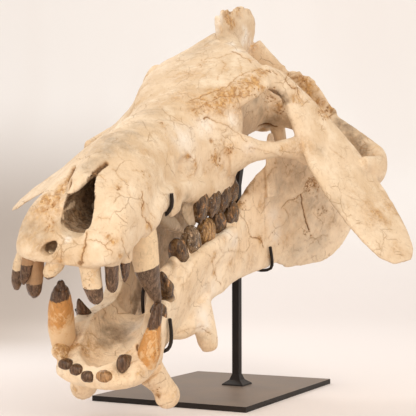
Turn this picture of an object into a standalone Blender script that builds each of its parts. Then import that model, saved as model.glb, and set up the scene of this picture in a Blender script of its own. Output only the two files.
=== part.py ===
# Fossil entelodont skull, jaws agape, on a welded steel stand.
# Part frame: origin on the floor under the middle of the base plate, +Y along the plate's long side
# (the skull faces -Y), +X to the skull's own left, +Z up.  Metres.
import math
import bmesh
import bpy
from mathutils import Euler, Vector

for old in list(bpy.data.objects):
    bpy.data.objects.remove(old, do_unlink=True)

MM = 0.001
FIT = 0.0003                      # clearance between pieces that touch

# --- driving dimensions (mm, degrees) ---------------------------------------------------------------
PLATE_WIDE, PLATE_LONG, PLATE_THICK = 203.2, 279.4, 6.35      # 8 x 11 x 1/4 in plate
POST_SIDE = 9.5                                               # 3/8 in square bar
ROD = 4.0                                                     # 5/32 in round rod
POST_AT = (12.3, 29.1)
SKULL_AT = (30.5, -386.0, 167.0)                              # snout tip above the plate
NOSE_DOWN, LEAN, TURN = 19.14, 5.89, 2.80                     # how the cranium sits on its rest
GAPE, JAW_LEAN = 14.89, -1.32                                 # how far the jaw hangs open
HINGE = (430.0, 0.0, -10.0)                                   # jaw joint: back, left, up
JAW_SLIP = (0.6, 1.2, 4.0)                                    # how far the joint stands off
CRANIUM_TRIANGLES, MANDIBLE_TRIANGLES = 4300, 2600
VOXEL = 3.0


def collection(name):
    made = bpy.data.collections.new(name)
    bpy.context.scene.collection.children.link(made)
    return made


PARTS = collection("entelodont_skull")
CUTTERS = collection("cutters")


def material(name, colour, roughness, metallic=0.0):
    made = bpy.data.materials.new(name)
    made.use_nodes = True
    shader = made.node_tree.nodes["Principled BSDF"]
    shader.inputs["Base Color"].default_value = (*colour, 1.0)
    shader.inputs["Roughness"].default_value = roughness
    shader.inputs["Metallic"].default_value = metallic
    return made


# Bones are laid out on their own axes: back from the snout tip, left of the midline, up from the palate.
def spot(back, left, up):
    return Vector((left, back, up)) * MM


class Bones:
    """Closed bodies swept through oval sections, gathered into one mesh."""

    def __init__(self, name):
        self.name = name
        self.bm = bmesh.new()

    def rings(self, rings):
        rows = [[self.bm.verts.new(p) for p in ring] for ring in rings]
        count = len(rows[0])
        faces = []
        for a, b in zip(rows, rows[1:]):
            for i in range(count):
                j = (i + 1) % count
                faces.append(self.bm.faces.new((a[i], a[j], b[j], b[i])))
        faces.append(self.bm.faces.new(rows[0][::-1]))
        faces.append(self.bm.faces.new(rows[-1]))
        bmesh.ops.recalc_face_normals(self.bm, faces=faces)

    def hull(self, stations, sides=28):
        """Body about the midline: (back, half width, top, widest at, bottom, roundness above, below, shift)."""
        rings = []
        for back, half, top, wide, bottom, above, below, *shift in stations:
            ring = []
            for i in range(sides):
                angle = 2 * math.pi * i / sides
                c, s = math.cos(angle), math.sin(angle)
                power = 2 / (above if s > 0 else below)
                height = (top - wide) if s > 0 else (wide - bottom)
                left = half * math.copysign(abs(c) ** power, c) + sum(shift)
                up = wide + height * math.copysign(abs(s) ** power, s)
                ring.append(spot(back, left, up))
            rings.append(ring)
        self.rings(rings)

    def limb(self, stations, lean, square=2.0, sides=14):
        """Body along a path: (back, left, up, half width towards lean, half thickness)."""
        path = [spot(*s[:3]) for s in stations]
        lean = spot(*lean).normalized()
        rings = []
        for k, station in enumerate(stations):
            ahead = path[min(k + 1, len(path) - 1)] - path[max(k - 1, 0)]
            along = ahead.normalized()
            wide = (lean - along * lean.dot(along)).normalized()
            thick = along.cross(wide)
            ring = []
            for i in range(sides):
                angle = 2 * math.pi * i / sides
                c, s = math.cos(angle), math.sin(angle)
                a = station[3] * MM * math.copysign(abs(c) ** (2 / square), c)
                b = station[4] * MM * math.copysign(abs(s) ** (2 / square), s)
                ring.append(path[k] + wide * a + thick * b)
            rings.append(ring)
        self.rings(rings)

    def pair(self, stations, lean, square=2.0, sides=14):
        """The same limb on the left and on the right."""
        self.limb(stations, lean, square, sides)
        mirrored = [(s[0], -s[1], *s[2:]) for s in stations]
        self.limb(mirrored, (lean[0], -lean[1], lean[2]), square, sides)

    def object(self, group=PARTS):
        mesh = bpy.data.meshes.new(self.name)
        self.bm.to_mesh(mesh)
        self.bm.free()
        made = bpy.data.objects.new(self.name, mesh)
        group.objects.link(made)
        if group is CUTTERS:
            made.hide_render = True
            made.display_type = "WIRE"
        return made


def settle(thing):
    """Turn the modified shape into the mesh itself."""
    bpy.context.view_layer.update()
    graph = bpy.context.evaluated_depsgraph_get()
    mesh = bpy.data.meshes.new_from_object(thing.evaluated_get(graph), depsgraph=graph)
    thing.modifiers.clear()
    thing.data = mesh
    return thing


def remesh(thing, voxel):
    step = thing.modifiers.new("one surface", "REMESH")
    step.mode = "VOXEL"
    step.voxel_size = voxel * MM


def boolean(thing, other, operation):
    step = thing.modifiers.new(operation.lower(), "BOOLEAN")
    step.operation = operation
    step.solver = "EXACT"
    step.object = other


def soften(thing, times, factor=0.5):
    step = thing.modifiers.new("soften", "SMOOTH")
    step.iterations = times
    step.factor = factor


def thin_out(thing, triangles):
    settle(thing)
    count = sum(len(face.vertices) - 2 for face in thing.data.polygons)
    step = thing.modifiers.new("facets", "DECIMATE")
    step.ratio = min(1.0, triangles / count)
    settle(thing)


def finish(thing, made_of, smooth=True):
    thing.data.materials.clear()
    thing.data.materials.append(made_of)
    for face in thing.data.polygons:
        face.use_smooth = smooth
    return thing


bone = material("bone", (0.74, 0.62, 0.45), 0.6)
jaw_bone = material("jaw bone", (0.72, 0.60, 0.44), 0.6)
enamel = material("enamel", (0.16, 0.11, 0.07), 0.3)
black_steel = material("black steel", (0.02, 0.02, 0.02), 0.4)

# --- where the two halves hang ------------------------------------------------------------------------
skull_pose = bpy.data.objects.new("skull_pose", None)
PARTS.objects.link(skull_pose)
skull_pose.location = Vector(SKULL_AT) * MM
skull_pose.rotation_mode = "YXZ"
skull_pose.rotation_euler = Euler([math.radians(a) for a in (NOSE_DOWN, LEAN, TURN)], "YXZ")

jaw_hinge = bpy.data.objects.new("jaw_hinge", None)
PARTS.objects.link(jaw_hinge)
jaw_hinge.parent = skull_pose
jaw_hinge.location = spot(*HINGE) + spot(*JAW_SLIP)
jaw_hinge.rotation_euler = [math.radians(a) for a in (GAPE, JAW_LEAN, 0.03)]

# --- cranium ------------------------------------------------------------------------------------------
skull = Bones("cranium")
# muzzle, face and palate in one body
skull.hull([(-12, 38, 17, 9, 4, 2.6, 2.4, -1), (-5, 49, 24, 12, 1, 3.4, 3.4, -1), (6, 54, 33, 15, 0, 4, 4, 0),
            (15, 55, 46, 20, 0, 3.8, 4, 1), (24, 55, 57, 24, 0, 3.2, 4, 2), (38, 54, 68, 28, 2, 2.5, 4, 2),
            (62, 53, 80, 34, 7, 2.2, 4, 2), (92, 50, 90, 38, 17, 2.2, 4, 2), (130, 45, 97, 42, 23, 2.2, 4),
            (170, 45, 103, 46, 20, 2.2, 4), (210, 51, 107, 48, 12, 2.2, 4), (245, 60, 115, 56, 6, 2.2, 4, 2),
            (272, 66, 123, 70, 8, 2.3, 3, 4), (292, 64, 127, 80, 14, 2.2, 2.4, 5)])
# walls between the eyes and round the brain
skull.hull([(250, 45, 110, 60, 6, 2, 3), (290, 38, 128, 60, 6, 2, 3), (320, 34, 136, 60, 10, 2, 3),
            (350, 33, 142, 65, 16, 2, 3), (380, 36, 146, 75, 20, 2, 2.4), (410, 42, 140, 80, 22, 2, 2.4),
            (440, 46, 130, 80, 22, 2, 2.4), (470, 46, 118, 78, 20, 2, 2.4), (492, 40, 100, 72, 18, 2, 2),
            (505, 25, 86, 68, 30, 2, 2)])
# frontal shelf over the eyes
skull.hull([(240, 48, 113, 90, 70, 2.2, 2, 2), (270, 62, 123, 98, 76, 2.2, 2, 5), (300, 74, 132, 106, 90, 2.1, 2, 10),
            (322, 80, 138, 111, 101, 2.1, 2, 12), (345, 76, 144, 117, 106, 2.1, 2, 10),
            (365, 58, 150, 126, 110, 2.1, 2, 5), (388, 38, 158, 137, 114, 2, 2), (412, 24, 163, 144, 120, 2, 2)])
# sagittal crest
skull.limb([(397, 0, 152, 20, 9), (408, 0, 157, 32, 8), (440, 0, 154, 34, 6), (470, 0, 150, 41, 7),
            (490, 0, 142, 42, 8), (500, 0, 136, 34, 8)], (0, 0, 1), square=3)
# nuchal crest, running out on to the root of the cheek arch
skull.pair([(490, 2, 126, 20, 9), (494, 14, 116, 24, 9), (492, 34, 96, 24, 8), (487, 58, 78, 20, 6),
            (476, 82, 75, 22, 6), (470, 104, 54, 20, 7), (464, 126, 33, 17, 8), (456, 150, 20, 16, 9)],
           (0, 0.3, 1))
# back of the skull and the two condyles it turned on
skull.hull([(482, 58, 100, 72, 40, 2, 2), (497, 50, 96, 70, 42, 2, 2), (506, 30, 88, 68, 50, 2, 2)])
skull.pair([(478, 22, 34, 14, 14), (496, 24, 32, 15, 14), (508, 24, 30, 11, 10)], (0, 0, 1))
# ear region and the paroccipital processes
skull.pair([(470, 44, 50, 14, 14), (474, 50, 20, 12, 9), (478, 54, -12, 8, 6)], (1, 0, 0))
# root and rear of the cheek arch
skull.pair([(462, 34, 54, 26, 18), (468, 62, 54, 24, 16), (468, 95, 44, 22, 14), (462, 128, 30, 20, 14),
            (452, 160, 16, 18, 14), (436, 188, 2, 19, 13), (410, 198, -4, 19, 11), (380, 184, 4, 17, 9)],
           (0, 0.2, 1))
# jaw joint under the arch
skull.pair([(440, 84, 38, 14, 13), (444, 108, 36, 16, 14), (444, 132, 31, 12, 12)], (1, 0, 0))
# cheek bone: bar under the eye
skull.pair([(258, 58, 44, 26, 14), (276, 73, 46, 20, 12), (292, 86, 43, 12, 9), (312, 99, 40, 9, 8)], (0, 0, 1))
skull.limb([(312, 99, 40, 9, 8), (332, 115, 38, 13, 9), (350, 132, 32, 20, 9)], (0, 0, 1))
skull.limb([(312, -99, 40, 9, 8), (334, -110, 36, 13, 9), (352, -124, 28, 20, 9)], (0, 0, 1))
# bar behind the eye widening into the great cheek flange; the right one is crushed in and splayed
skull.limb([(338, 76, 120, 16, 12), (350, 88, 112, 17, 9), (360, 103, 94, 20, 8), (364, 119, 73, 27, 8),
            (362, 136, 48, 36, 8), (359, 156, 20, 44, 8), (351, 180, -8, 47, 7), (338, 206, -36, 44, 6),
            (325, 227, -58, 39, 6), (316, 243, -74, 29, 5), (311, 251, -83, 16, 3)], (0.914, 0.405, 0), square=2.6)
skull.limb([(342, -62, 116, 16, 12), (352, -74, 108, 17, 9), (361, -88, 90, 18, 8), (365, -104, 68, 23, 8),
            (363, -126, 44, 32, 8), (357, -152, 22, 41, 8), (345, -182, 0, 46, 7), (330, -212, -22, 42, 6),
            (318, -238, -39, 34, 6), (308, -256, -53, 25, 5), (304, -265, -60, 14, 3)], (0.914, -0.405, 0), square=2.6)
# alveolar rims
skull.pair([(60, 44, 20, 13, 13), (80, 46, 25, 14, 14), (96, 48, 33, 12, 10), (112, 48, 34, 13, 9),
            (130, 47, 32, 12, 9), (160, 48, 28, 12, 8), (200, 50, 19, 14, 8), (245, 53, 12, 14, 9), (290, 56, 9, 12, 9),
            (310, 55, 10, 8, 7)], (0, 0, 1))
# pterygoid wings
skull.pair([(300, 30, 10, 16, 8), (330, 26, 2, 22, 5), (365, 24, 4, 22, 4), (395, 24, 16, 14, 5)], (0, 0, 1))
cranium = skull.object()
remesh(cranium, VOXEL)

# nose opening
nose = Bones("nose_cutter")
nose.hull([(-30, 20, 100, 48, 24, 2.4, 3, 5), (20, 20, 100, 48, 24, 2.4, 3, 5), (34, 19, 84, 46, 26, 2, 3, 4),
           (46, 17, 82, 46, 27, 2, 3, 4), (80, 15, 76, 46, 30, 2, 2.4, 3), (120, 11, 72, 50, 34, 2, 2),
           (150, 6, 64, 50, 40, 2, 2)])
nose_cutter = nose.object(CUTTERS)
boolean(cranium, nose_cutter, "DIFFERENCE")
# eye sockets
eye = Bones("eye_cutter")
eye.limb([(349, 40, 82, 24, 22), (338, 60, 82, 26, 24), (323, 88, 82, 27, 25), (306, 122, 80, 29, 27)], (0.2, 0.1, 1))
eye.limb([(352, -30, 80, 24, 22), (345, -46, 80, 26, 24), (334, -72, 79, 27, 25), (318, -106, 77, 29, 27)],
         (0.2, -0.1, 1))
eye_cutter = eye.object(CUTTERS)
boolean(cranium, eye_cutter, "DIFFERENCE")
# hollow of the palate
roof = Bones("palate_cutter")
roof.hull([(80, 10, 16, 0, -20, 2, 2), (105, 28, 24, 0, -20, 2, 2), (150, 33, 34, 0, -20, 2, 2),
           (200, 37, 32, 0, -20, 2, 2), (300, 38, 24, 0, -20, 2, 2), (330, 18, 20, 0, -20, 2, 2)])
palate_cutter = roof.object(CUTTERS)
boolean(cranium, palate_cutter, "DIFFERENCE")
settle(cranium)

# nasal bones reaching out over the nose opening
nasals = Bones("nasals")
nasals.limb([(22, 2, 62, 3, 3), (32, 2, 66, 8, 5), (50, 2, 73, 13, 7), (70, 2, 80, 16, 8), (100, 1, 87, 20, 9),
             (130, 0, 91, 20, 9)], (0, 1, 0))
# incisors
for tooth in (((4, 22, 8, 10, 9), (4, 23, -8, 10, 9), (4, 24, -24, 9, 8), (4, 25, -37, 6, 5)),
              ((14, 40, 8, 7, 8), (14, 40, -6, 7, 8), (14, 40, -18, 7, 7), (14, 40, -27, 4, 5)),
              ((30, 46, 8, 5, 8), (30, 46, -6, 5, 8), (30, 46, -16, 4, 7), (30, 46, -25, 3, 4)),
              ((4, -16, 8, 9, 8), (4, -18, -4, 9, 8), (4, -20, -12, 8, 7), (5, -22, -18, 6, 5)),
              ((10, -38, 8, 8, 8), (9, -41, -8, 8, 8), (9, -43, -24, 8, 7), (10, -45, -38, 6, 5)),
              ((24, -50, 8, 6, 8), (22, -58, -6, 6, 8), (20, -64, -22, 6, 7), (20, -67, -36, 4, 5))):
    nasals.limb(tooth, (0, 1, 0))
# cheek teeth
for back, left, gum, tip, wide in ((127, 49, 20, 4, 7), (148, 48, 22, 0, 9), (172, 49, 22, -10, 11), (198, 50, 16, -10, 12),
                                   (224, 51, 10, -14, 12), (252, 52, 6, -17, 13), (283, 55, 4, -17, 13)):
    nasals.pair([(back, left, gum + 6, wide, 9), (back, left, gum - 6, wide, 9), (back, left, tip, wide * 0.8, 7)],
                (1, 0, 0))
extra = nasals.object(CUTTERS)
boolean(cranium, extra, "UNION")
remesh(cranium, VOXEL)
soften(cranium, 4)
thin_out(cranium, CRANIUM_TRIANGLES)
finish(cranium, bone)
cranium.parent = skull_pose

# --- mandible -----------------------------------------------------------------------------------------
jaw = Bones("mandible")
jaw.hull([(2, 28, -20, -25, -33, 2, 2), (9, 43, -14, -26, -41, 2.4, 2, -1), (24, 50, -10, -28, -50, 2.6, 2),
          (58, 51, -6, -26, -68, 2.6, 1.8), (92, 44, 0, -26, -66, 2.6, 1.6), (122, 42, 0, -36, -73, 2.6, 1.8),
          (145, 34, -40, -56, -70, 2, 2)])
jaw.pair([(58, 40, -32, 26, 11), (82, 38, -24, 30, 9), (107, 38, -21, 37, 10), (140, 42, -20, 46, 11),
          (174, 44, -20, 42, 11), (215, 49, -27, 37, 11), (250, 53, -34, 38, 11)], (0, 0.3, 1), square=2.6)
# thickened lower border
jaw.pair([(116, 34, -46, 10, 9), (130, 41, -53, 12, 9), (146, 44, -58, 13, 9), (168, 45, -54, 12, 9),
          (190, 46, -48, 11, 9)], (0, 0, 1))
jaw.pair([(184, 48, -24, 28, 9), (215, 50, -28, 35, 11), (240, 51, -32, 36, 11), (262, 53, -37, 38, 11),
          (290, 55, -44, 44, 10), (320, 61, -48, 54, 9), (345, 69, -47, 63, 7), (370, 81, -50, 76, 6),
          (400, 102, -61, 79, 6), (425, 121, -72, 78, 6), (445, 136, -80, 67, 6), (460, 146, -89, 48, 6),
          (470, 153, -98, 24, 5)], (0, -0.12, 1), square=2.6)
# coronoid processes, condyles
jaw.pair([(362, 78, -20, 26, 6), (372, 75, 6, 23, 5), (384, 72, 28, 15, 4), (392, 70, 42, 8, 3), (394, 70, 48, 4, 2)],
         (1, 0, 0))
jaw.pair([(430, 84, -6, 9, 8), (434, 104, -5, 10, 10), (432, 128, -6, 8, 8)], (1, 0, 0))
# two pairs of knobs under the jaw
jaw.limb([(58, 34, -54, 17, 15), (61, 42, -74, 13, 11), (61, 46, -88, 15, 13), (61, 47, -96, 12, 10)], (1, 0, 0))
jaw.limb([(58, -34, -52, 17, 16), (60, -46, -74, 14, 15), (61, -56, -92, 14, 15), (61, -60, -102, 11, 11)], (1, 0, 0))
jaw.pair([(166, 46, -44, 22, 10), (158, 53, -66, 16, 11), (150, 58, -84, 13, 11), (147, 60, -94, 10, 8)], (1, 0, 0))
mandible = jaw.object()
remesh(mandible, VOXEL)
trough = Bones("trough_cutter")
trough.hull([(12, 10, 30, 0, -18, 2, 2), (26, 26, 30, 0, -26, 2, 2), (60, 32, 40, 0, -31, 2, 2.2),
             (100, 32, 60, 0, -33, 2, 2.2), (122, 32, 60, 0, -35, 2, 2.2), (130, 32, 60, 0, -60, 2, 2.2),
             (150, 30, 60, 0, -120, 2, 2.2), (200, 34, 60, -10, -140, 2, 2)])
trough_cutter = trough.object(CUTTERS)
boolean(mandible, trough_cutter, "DIFFERENCE")
settle(mandible)
lower = Bones("lower_teeth")
for left, back in ((-31, 15), (-18, 10), (-4, 8), (13, 9), (33, 15)):
    lower.limb([(back + 6, left, -30, 7, 6), (back + 1, left, -20, 7, 6), (back - 2, left, -13, 6, 5)], (0, 1, 0))
for back, left, gum, tip, wide in ((84, 44, 4, 14, 6), (120, 43, 16, 34, 9), (150, 44, 22, 48, 10),
                                   (180, 45, 18, 44, 12), (214, 47, 8, 31, 13), (246, 48, 0, 22, 13),
                                   (280, 50, -6, 10, 15)):
    lower.pair([(back, left, gum - 6, wide, 8), (back, left, gum + 4, wide, 8), (back, left, tip, wide * 0.8, 6)],
               (1, 0, 0))
lower_teeth = lower.object(CUTTERS)
boolean(mandible, lower_teeth, "UNION")
remesh(mandible, VOXEL)
soften(mandible, 4)
thin_out(mandible, MANDIBLE_TRIANGLES)
finish(mandible, jaw_bone)
for vertex in mandible.data.vertices:
    vertex.co -= spot(*HINGE)
mandible.parent = jaw_hinge

# --- canines: each a tooth of its own, its root in a socket cut a little larger -------------------------
def canine(name, stations, lean, holder, hang):
    tooth = Bones(name)
    tooth.limb(stations, lean, sides=14)
    made = tooth.object()
    if hang is jaw_hinge:
        for vertex in made.data.vertices:
            vertex.co -= spot(*HINGE)
    socket = Bones(name + "_socket")
    socket.limb([(*s[:3], s[3] + FIT / MM, s[4] + FIT / MM) for s in stations], lean, sides=14)
    hole = socket.object(CUTTERS)
    first = Vector(spot(*stations[0][:3]))
    ahead = (spot(*stations[1][:3]) - first).normalized()
    for vertex in hole.data.vertices:
        if (vertex.co - first).dot(ahead) < 1e-6:
            vertex.co -= ahead * FIT
    if hang is jaw_hinge:
        for vertex in hole.data.vertices:
            vertex.co -= spot(*HINGE)
    hole.parent = hang
    boolean(holder, hole, "DIFFERENCE")
    settle(holder)
    finish(made, enamel).parent = hang


canine("upper_canine_left", [(72, 43, 26, 12, 12), (73, 44, 8, 13, 14), (74, 44, -8, 13, 14), (75, 45, -24, 13, 13),
                             (77, 48, -42, 10, 9), (79, 51, -56, 6, 6), (80, 53, -66, 2, 2)], (1, 0, 0), cranium, skull_pose)
canine("upper_canine_right", [(72, -43, 26, 11, 11), (73, -44, 8, 12, 12), (74, -45, -2, 12, 12), (74, -45, -7, 9, 8)],
       (1, 0, 0), cranium, skull_pose)
canine("lower_canine_left", [(35, 45, -29, 9, 9), (42, 47, -15, 12, 12), (51, 48, 0, 12, 11), (61, 48, 13, 8, 7),
                             (70, 48, 23, 3, 3)], (1, 0, -0.6), mandible, jaw_hinge)
canine("lower_canine_right", [(38, -47, -38, 8, 7), (40, -48, -16, 12, 11), (41, -47, 8, 13, 11), (42, -45, 30, 11, 9),
                              (44, -42, 48, 6, 6), (45, -40, 61, 2, 2)], (1, 0, 0), mandible, jaw_hinge)

# --- stand --------------------------------------------------------------------------------------------
bpy.context.view_layer.update()


def beside(hang, *places):
    """Places given on a bone's own axes, as places in the part."""
    origin = spot(*HINGE) if hang is jaw_hinge else Vector()
    return [hang.matrix_world @ (spot(*place) - origin) for place in places]


def rounded(corners, radius):
    """The same path with each inner corner eased into a short arc."""
    path = [corners[0]]
    for before, corner, after in zip(corners, corners[1:], corners[2:]):
        into, out = corner - before, after - corner
        reach = min(radius * MM, into.length * 0.45, out.length * 0.45)
        first, last = corner - into.normalized() * reach, corner + out.normalized() * reach
        for t in (0.0, 0.5, 1.0):
            path.append(first.lerp(corner, t).lerp(corner.lerp(last, t), t))
    return path + [corners[-1]]


def rod(name, corners, radius=7.0):
    curve = bpy.data.curves.new(name, "CURVE")
    curve.dimensions = "3D"
    curve.bevel_depth = ROD / 2 * MM
    curve.bevel_resolution = 2
    curve.use_fill_caps = True
    spline = curve.splines.new("POLY")
    path = rounded(corners, radius)
    spline.points.add(len(path) - 1)
    for point, place in zip(spline.points, path):
        point.co = (*place, 1.0)
    made = bpy.data.objects.new(name, curve)
    PARTS.objects.link(made)
    return made


def solid(curve_object):
    """A rod as a mesh, so that another can be welded to it."""
    bpy.context.view_layer.update()
    graph = bpy.context.evaluated_depsgraph_get()
    mesh = bpy.data.meshes.new_from_object(curve_object.evaluated_get(graph), depsgraph=graph)
    name = curve_object.name
    bpy.data.objects.remove(curve_object, do_unlink=True)
    bm = bmesh.new()
    bm.from_mesh(mesh)
    bmesh.ops.remove_doubles(bm, verts=bm.verts, dist=1e-6)
    bmesh.ops.recalc_face_normals(bm, faces=bm.faces)
    bm.to_mesh(mesh)
    bm.free()
    made = bpy.data.objects.new(name, mesh)
    PARTS.objects.link(made)
    return made


def weld(main, branch):
    main, branch = solid(main), solid(branch)
    boolean(main, branch, "UNION")
    settle(main)
    bpy.data.objects.remove(branch, do_unlink=True)
    return main


base = Bones("stand_base")
corners = [Vector((x * PLATE_WIDE / 2, y * PLATE_LONG / 2, 0)) * MM for x, y in ((-1, -1), (1, -1), (1, 1), (-1, 1))]
base.rings([corners, [corner + Vector((0, 0, PLATE_THICK * MM)) for corner in corners]])
finish(base.object(), black_steel, smooth=False)


# square bar: weld skirt at the foot, upright, then leaning back into the base of the skull
def square(x, y, z, half, tilt=0.0):
    c, s = math.cos(tilt), math.sin(tilt)
    return [Vector((x + half * u, y + half * v * c, z - half * v * s)) * MM
            for u, v in ((-1, -1), (1, -1), (1, 1), (-1, 1))]


SIDE, X, Y = POST_SIDE / 2, *POST_AT
BEND = math.radians(18.0)
BEND_AT, POST_TIP = 268.0, 92.0
foot = PLATE_THICK + FIT / MM
post = Bones("stand_post")
post.rings([square(X, Y, foot, 15.0), square(X, Y, foot + 1.5, 14.5), square(X, Y, foot + 6.5, 7.6),
            square(X, Y, foot + 14.0, SIDE), square(X, Y, BEND_AT, SIDE, BEND / 2),
            square(X, Y + POST_TIP * math.sin(BEND), BEND_AT + POST_TIP * math.cos(BEND), SIDE, BEND)])
post_bar = finish(post.object(), black_steel, smooth=False)

WELD = SIDE + ROD / 2 + FIT / MM          # a rod lying across the post stands this far off its middle
BUTT = SIDE + 1.1                         # and one that meets it end on, this far
left = [(322, 77.4, -72), (322, 77.4, -92), (321, 75.5, -104.5), (318, 62, -106.5), (322, 50, -106)]
right = [(back, -side, up) for back, side, up in left[::-1]]
arm = [*beside(jaw_hinge, *left), Vector((X + 3, Y - WELD, 166.0)) * MM, Vector((X - 3, Y - WELD, 166.0)) * MM,
       *beside(jaw_hinge, *right)]
finish(solid(rod("stand_jaw_rear_arm", arm)), black_steel)

left = [(84, 54.5, -4), (85, 52.5, -21), (88, 48, -38), (92, 40, -52.5), (96, 20, -64), (98, 0, -72)]
right = [(back, -side, up) for back, side, up in left[-2::-1]]
yoke = rod("stand_jaw_front_arm", beside(jaw_hinge, *left, *right))
stem = rod("stem", [Vector((X, Y - BUTT, 196.0)) * MM, *beside(
    jaw_hinge, (160, -8, -14), (146, -8, -22), (137, -8, -42), (143, -8, -66), (139, -6, -79), (98, 0, -72))])
finish(weld(yoke, stem), black_steel)

left = [(109, 60, 42), (109, 60.5, 28), (109, 50, 16), (109, 36, 16), (109, 0, 16)]
right = [(back, -side, up) for back, side, up in left[-2::-1]]
yoke = rod("stand_palate_arm", beside(skull_pose, *left, *right))
stem = rod("stem", [*beside(skull_pose, (109, 0, 16), (138, 0, 20), (220, 1, 16), (310, 3, 2), (392, 7, -40)),
                    Vector((X, Y - BUTT, 250.0)) * MM])
finish(weld(yoke, stem), black_steel)

# the bar's end stands in a socket in the base of the skull
grip = Bones("post_socket")
grip.rings([square(X, Y, BEND_AT, SIDE + FIT / MM, BEND / 2),
            square(X, Y + (POST_TIP + 0.3) * math.sin(BEND), BEND_AT + (POST_TIP + 0.3) * math.cos(BEND),
                   SIDE + FIT / MM, BEND)])
post_socket = grip.object(CUTTERS)
boolean(cranium, post_socket, "DIFFERENCE")
settle(cranium)
finish(cranium, bone)
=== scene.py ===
import math
import bmesh
import bpy
import numpy as np
from mathutils import Euler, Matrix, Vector, kdtree
from mathutils.bvhtree import BVHTree


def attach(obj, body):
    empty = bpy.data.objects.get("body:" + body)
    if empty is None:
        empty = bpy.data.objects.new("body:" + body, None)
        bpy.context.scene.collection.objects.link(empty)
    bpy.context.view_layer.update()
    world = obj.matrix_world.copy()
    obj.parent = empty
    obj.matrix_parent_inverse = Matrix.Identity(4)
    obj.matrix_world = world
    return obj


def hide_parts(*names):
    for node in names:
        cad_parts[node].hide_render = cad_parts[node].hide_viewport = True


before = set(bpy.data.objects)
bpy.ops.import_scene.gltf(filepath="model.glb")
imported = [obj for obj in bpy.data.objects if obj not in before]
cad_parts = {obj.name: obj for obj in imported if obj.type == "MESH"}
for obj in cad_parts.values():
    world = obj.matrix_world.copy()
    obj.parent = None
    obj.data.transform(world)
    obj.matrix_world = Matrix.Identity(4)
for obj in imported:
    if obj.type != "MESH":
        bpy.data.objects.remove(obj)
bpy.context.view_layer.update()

# --- camera -------------------------------------------------------------------------------------------
# Stands at the height of the chin, to the left of the snout, and looks slightly up past the cheek.
# The bones' cracks, pits, dents, stains, painted shade and painted highlights are placed by where they lie
# in its frame.
MM = 0.001
FRAME = 416                                    # the picture is square, this many steps each way
HEADING = 26.57                                # degrees; the way the camera looks and the sheet is turned
LOOKS_UP = 2.756                               # degrees above the level
eye = bpy.data.objects.new("camera", bpy.data.cameras.new("camera"))
bpy.context.scene.collection.objects.link(eye)
bpy.context.scene.camera = eye
bpy.context.scene.view_settings.view_transform = "Standard"      # colours come out as they are mixed
eye.location = Vector((555.6, -1141.8, 175.2)) * MM
eye.rotation_euler = (math.radians(90 + LOOKS_UP), 0, math.radians(HEADING))
eye.data.sensor_width = 36.0
eye.data.lens = 84.8
eye.data.clip_start = 0.05


def sight(x, y):
    """The direction in which the camera sees a place in its frame, counted from the top left."""
    away = Vector((x - FRAME / 2, FRAME / 2 - y, -eye.data.lens / eye.data.sensor_width * FRAME))
    return (eye.rotation_euler.to_matrix() @ away).normalized()


# --- studio -------------------------------------------------------------------------------------------
# A pale paper sheet covers the floor and turns up behind the specimen in one curve; its colour holds painted
# light: darker on the floor than up the wall, and a painted shadow low on the left.
# A pale sky and four large soft lamps light it, the warmest from the front left.
class Shade:
    """A shader socket that can be reckoned with."""

    tree = None

    def __init__(self, socket):
        self.socket = socket

    @staticmethod
    def join(value, socket):
        """Lead a value into a socket: another shade by a link, anything else as it is."""
        if isinstance(value, Shade):
            Shade.tree.links.new(value.socket, socket)
        elif socket.type == "RGBA" and len(value) == 3:
            socket.default_value = (*value, 1.0)
        else:
            socket.default_value = value

    @classmethod
    def node(cls, kind, out=0, settings=None, **values):
        """A node by type: its settings first, then what its sockets hold or are joined to."""
        made = cls.tree.nodes.new("ShaderNode" + kind)
        for name, value in (settings or {}).items():
            setattr(made, name, value)
        for name, value in values.items():
            key = int(name[1:]) if name[0] == "_" and name[1:].isdigit() else name.replace("_", " ")
            cls.join(value, made.inputs[key])
        return cls(made.outputs[out])

    @classmethod
    def maths(cls, what, a, b=0.0, clamp=False):
        return cls.node("Math", settings={"operation": what, "use_clamp": clamp}, _0=a, _1=b)

    def __add__(self, other):
        return Shade.maths("ADD", self, other)

    __radd__ = __add__

    def __sub__(self, other):
        return Shade.maths("SUBTRACT", self, other)

    def __rsub__(self, other):
        return Shade.maths("SUBTRACT", other, self)

    def __mul__(self, other):
        return Shade.maths("MULTIPLY", self, other)

    def clip(self):
        """Held between 0 and 1."""
        return Shade.maths("ADD", self, 0.0, clamp=True)


def noise(place, size, detail=4.0, rough=0.55, bend=0.0):
    """Cloudy noise whose lumps are about so many millimetres across."""
    return Shade.node("TexNoise", Vector=place, Scale=1 / (size * MM), Detail=detail, Roughness=rough,
                      Distortion=bend)


def crazing(place, scale):
    """How far a point is from the nearest side of a net of cells; the sides make hair cracks."""
    return Shade.node("TexVoronoi", settings={"feature": "DISTANCE_TO_EDGE"}, Vector=place, Scale=scale)


def between(value, low, high):
    """0 below low, 1 above high, eased between."""
    return Shade.node("MapRange", settings={"interpolation_type": "SMOOTHSTEP"}, Value=value, _1=low,
                      _2=high)


def mixed(share, first, second):
    """The first colour, with so much of the second over it."""
    return Shade.node("Mix", 2, {"data_type": "RGBA"}, _0=share, _6=first, _7=second)


def stretched(place, x, y, z):
    """A place with its axes scaled, so that noise laid on it runs long the other way."""
    return Shade.node("VectorMath", settings={"operation": "MULTIPLY"}, _0=place, _1=(x, y, z))


def material(name):
    """A new material; returns it, its shader's inputs and the place of a point on the object."""
    made = bpy.data.materials.new(name)
    made.use_nodes = True
    Shade.tree = made.node_tree
    shader = made.node_tree.nodes["Principled BSDF"]
    return made, shader.inputs, Shade.node("TexCoord", 3)


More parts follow.
